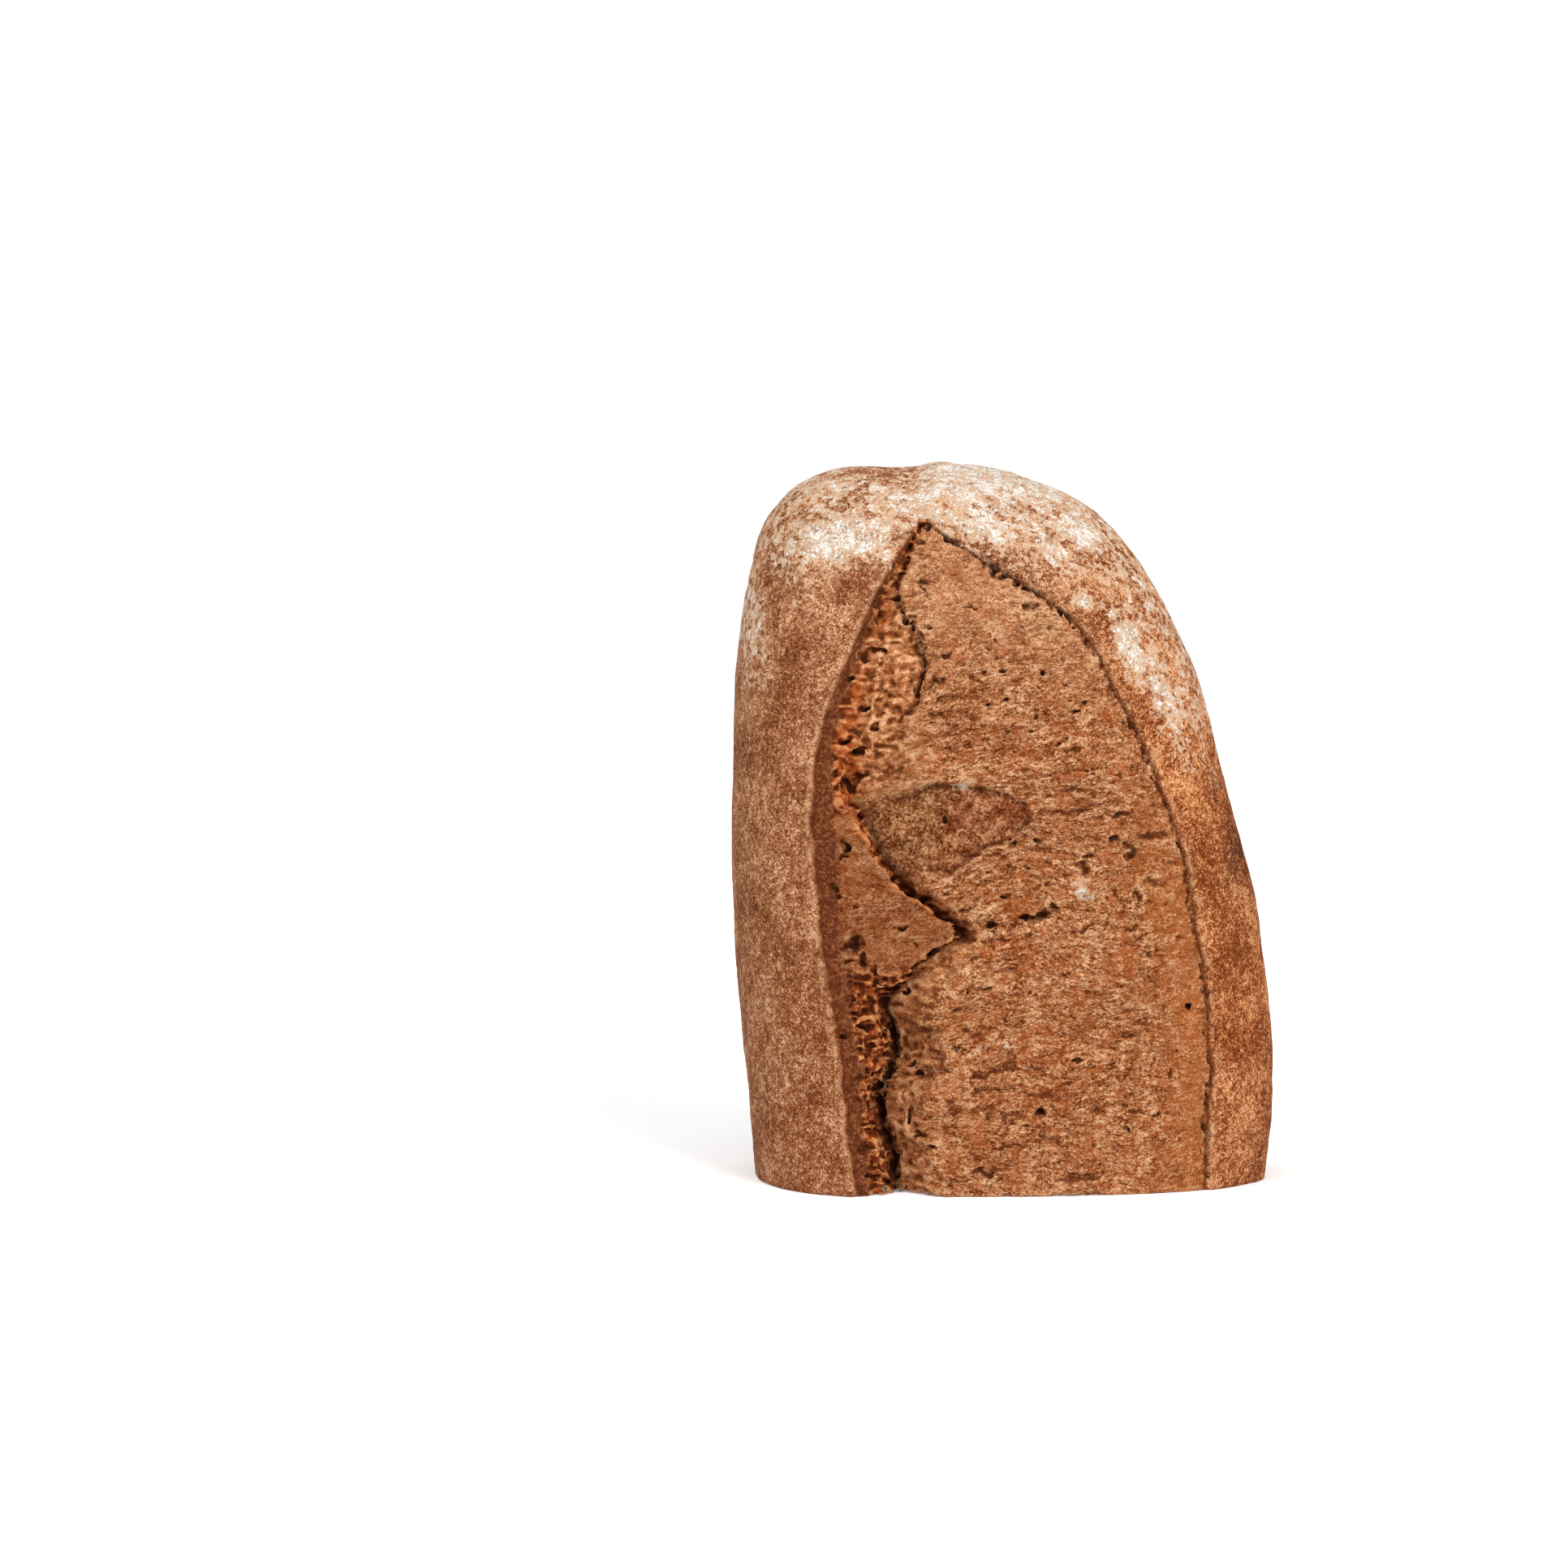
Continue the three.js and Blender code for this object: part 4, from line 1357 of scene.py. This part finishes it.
def loaf_material():
    g = Graph("baked_whole_wheat")
    colour = floured(g, g.blend(g.mask("tear"), crust_colour(g), torn_colour(g)))
    rim = g.ramp(g.noise(1.2), (0.35, 120, 62, 30), (0.65, 186, 118, 70))
    colour = g.blend(g.mask("cut"), colour, g.blend(g.mask("rim"), crumb_colour(g), rim))
    g.link(colour, g.shader.inputs["Base Color"])
    g.link(fine_relief(g), g.shader.inputs["Normal"])
    g.shader.inputs["Roughness"].default_value = 0.8
    g.shader.inputs["Specular IOR Level"].default_value = 0.05
    return g.material


# ---------------------------------------------------------------- the studio

CAMERA_AT = (-60.8, -888.0, 128.3)
CAMERA_TILT = 1.18
LENS = 73.5
SENSOR = 36.0
CLIP_START = 0.01
WHITE = (1.0, 1.0, 1.0, 1.0)
SKY_LIGHT = 0.46

# Each light: its name, the direction it shines from, its strength and its softness in degrees.
LIGHTS = (("key", (0.55, -1.0, 0.8), 1.8, 25.0), ("top", (-0.3, -0.4, 1.0), 1.4, 50.0))

FLOOR_REACH = 40.0
FLOOR_COLOUR = (0.95, 0.95, 0.95, 1.0)
FLOOR_GLOW = 0.18


def add_camera():
    data = bpy.data.cameras.new("camera")
    data.sensor_width = SENSOR
    data.lens = LENS
    data.clip_start = CLIP_START
    camera = add_object("camera", data)
    camera.location = [value * MM for value in CAMERA_AT]
    camera.rotation_euler = (math.radians(90.0 - CAMERA_TILT), 0.0, 0.0)
    bpy.context.scene.camera = camera


def add_sun(name, direction, strength, softness):
    """A soft, far light that shines from direction."""
    data = bpy.data.lights.new(name, "SUN")
    data.energy = strength
    data.angle = math.radians(softness)
    light = add_object(name, data)
    light.rotation_euler = Vector(direction).to_track_quat("Z", "Y").to_euler()


def add_sky():
    """An even white sky, dimmer as a light than as the background that is seen."""
    world = bpy.data.worlds.new("studio")
    world.use_nodes = True
    nodes = world.node_tree.nodes
    light = nodes["Background"]
    light.inputs["Color"].default_value = WHITE
    light.inputs["Strength"].default_value = SKY_LIGHT
    seen = nodes.new("ShaderNodeBackground")
    seen.inputs["Color"].default_value = WHITE
    choice = nodes.new("ShaderNodeMixShader")
    path = nodes.new("ShaderNodeLightPath")
    link = world.node_tree.links.new
    link(path.outputs["Is Camera Ray"], choice.inputs["Fac"])
    link(light.outputs["Background"], choice.inputs[1])
    link(seen.outputs["Background"], choice.inputs[2])
    link(choice.outputs["Shader"], nodes["World Output"].inputs["Surface"])
    bpy.context.scene.world = world


def add_floor():
    mesh = bpy.data.meshes.new("floor")
    reach = FLOOR_REACH
    corners = [(-reach, -reach, 0), (reach, -reach, 0), (reach, reach, 0), (-reach, reach, 0)]
    mesh.from_pydata(corners, [], [(0, 1, 2, 3)])
    floor = add_object("floor", mesh)
    g = Graph("studio_floor")
    looks = {
        "Base Color": FLOOR_COLOUR,
        "Roughness": 1.0,
        "Specular IOR Level": 0.0,
        "Emission Color": WHITE,
        "Emission Strength": FLOOR_GLOW,
    }
    for name, value in looks.items():
        g.shader.inputs[name].default_value = value
    mesh.materials.append(g.material)


def add_studio():
    bpy.context.scene.view_settings.view_transform = "Standard"
    add_sky()
    for light in LIGHTS:
        add_sun(*light)
    add_floor()


loaf = make_loaf()
loaf.data.materials.append(loaf_material())
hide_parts(NODE)
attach(loaf, BODY)
add_camera()
add_studio()
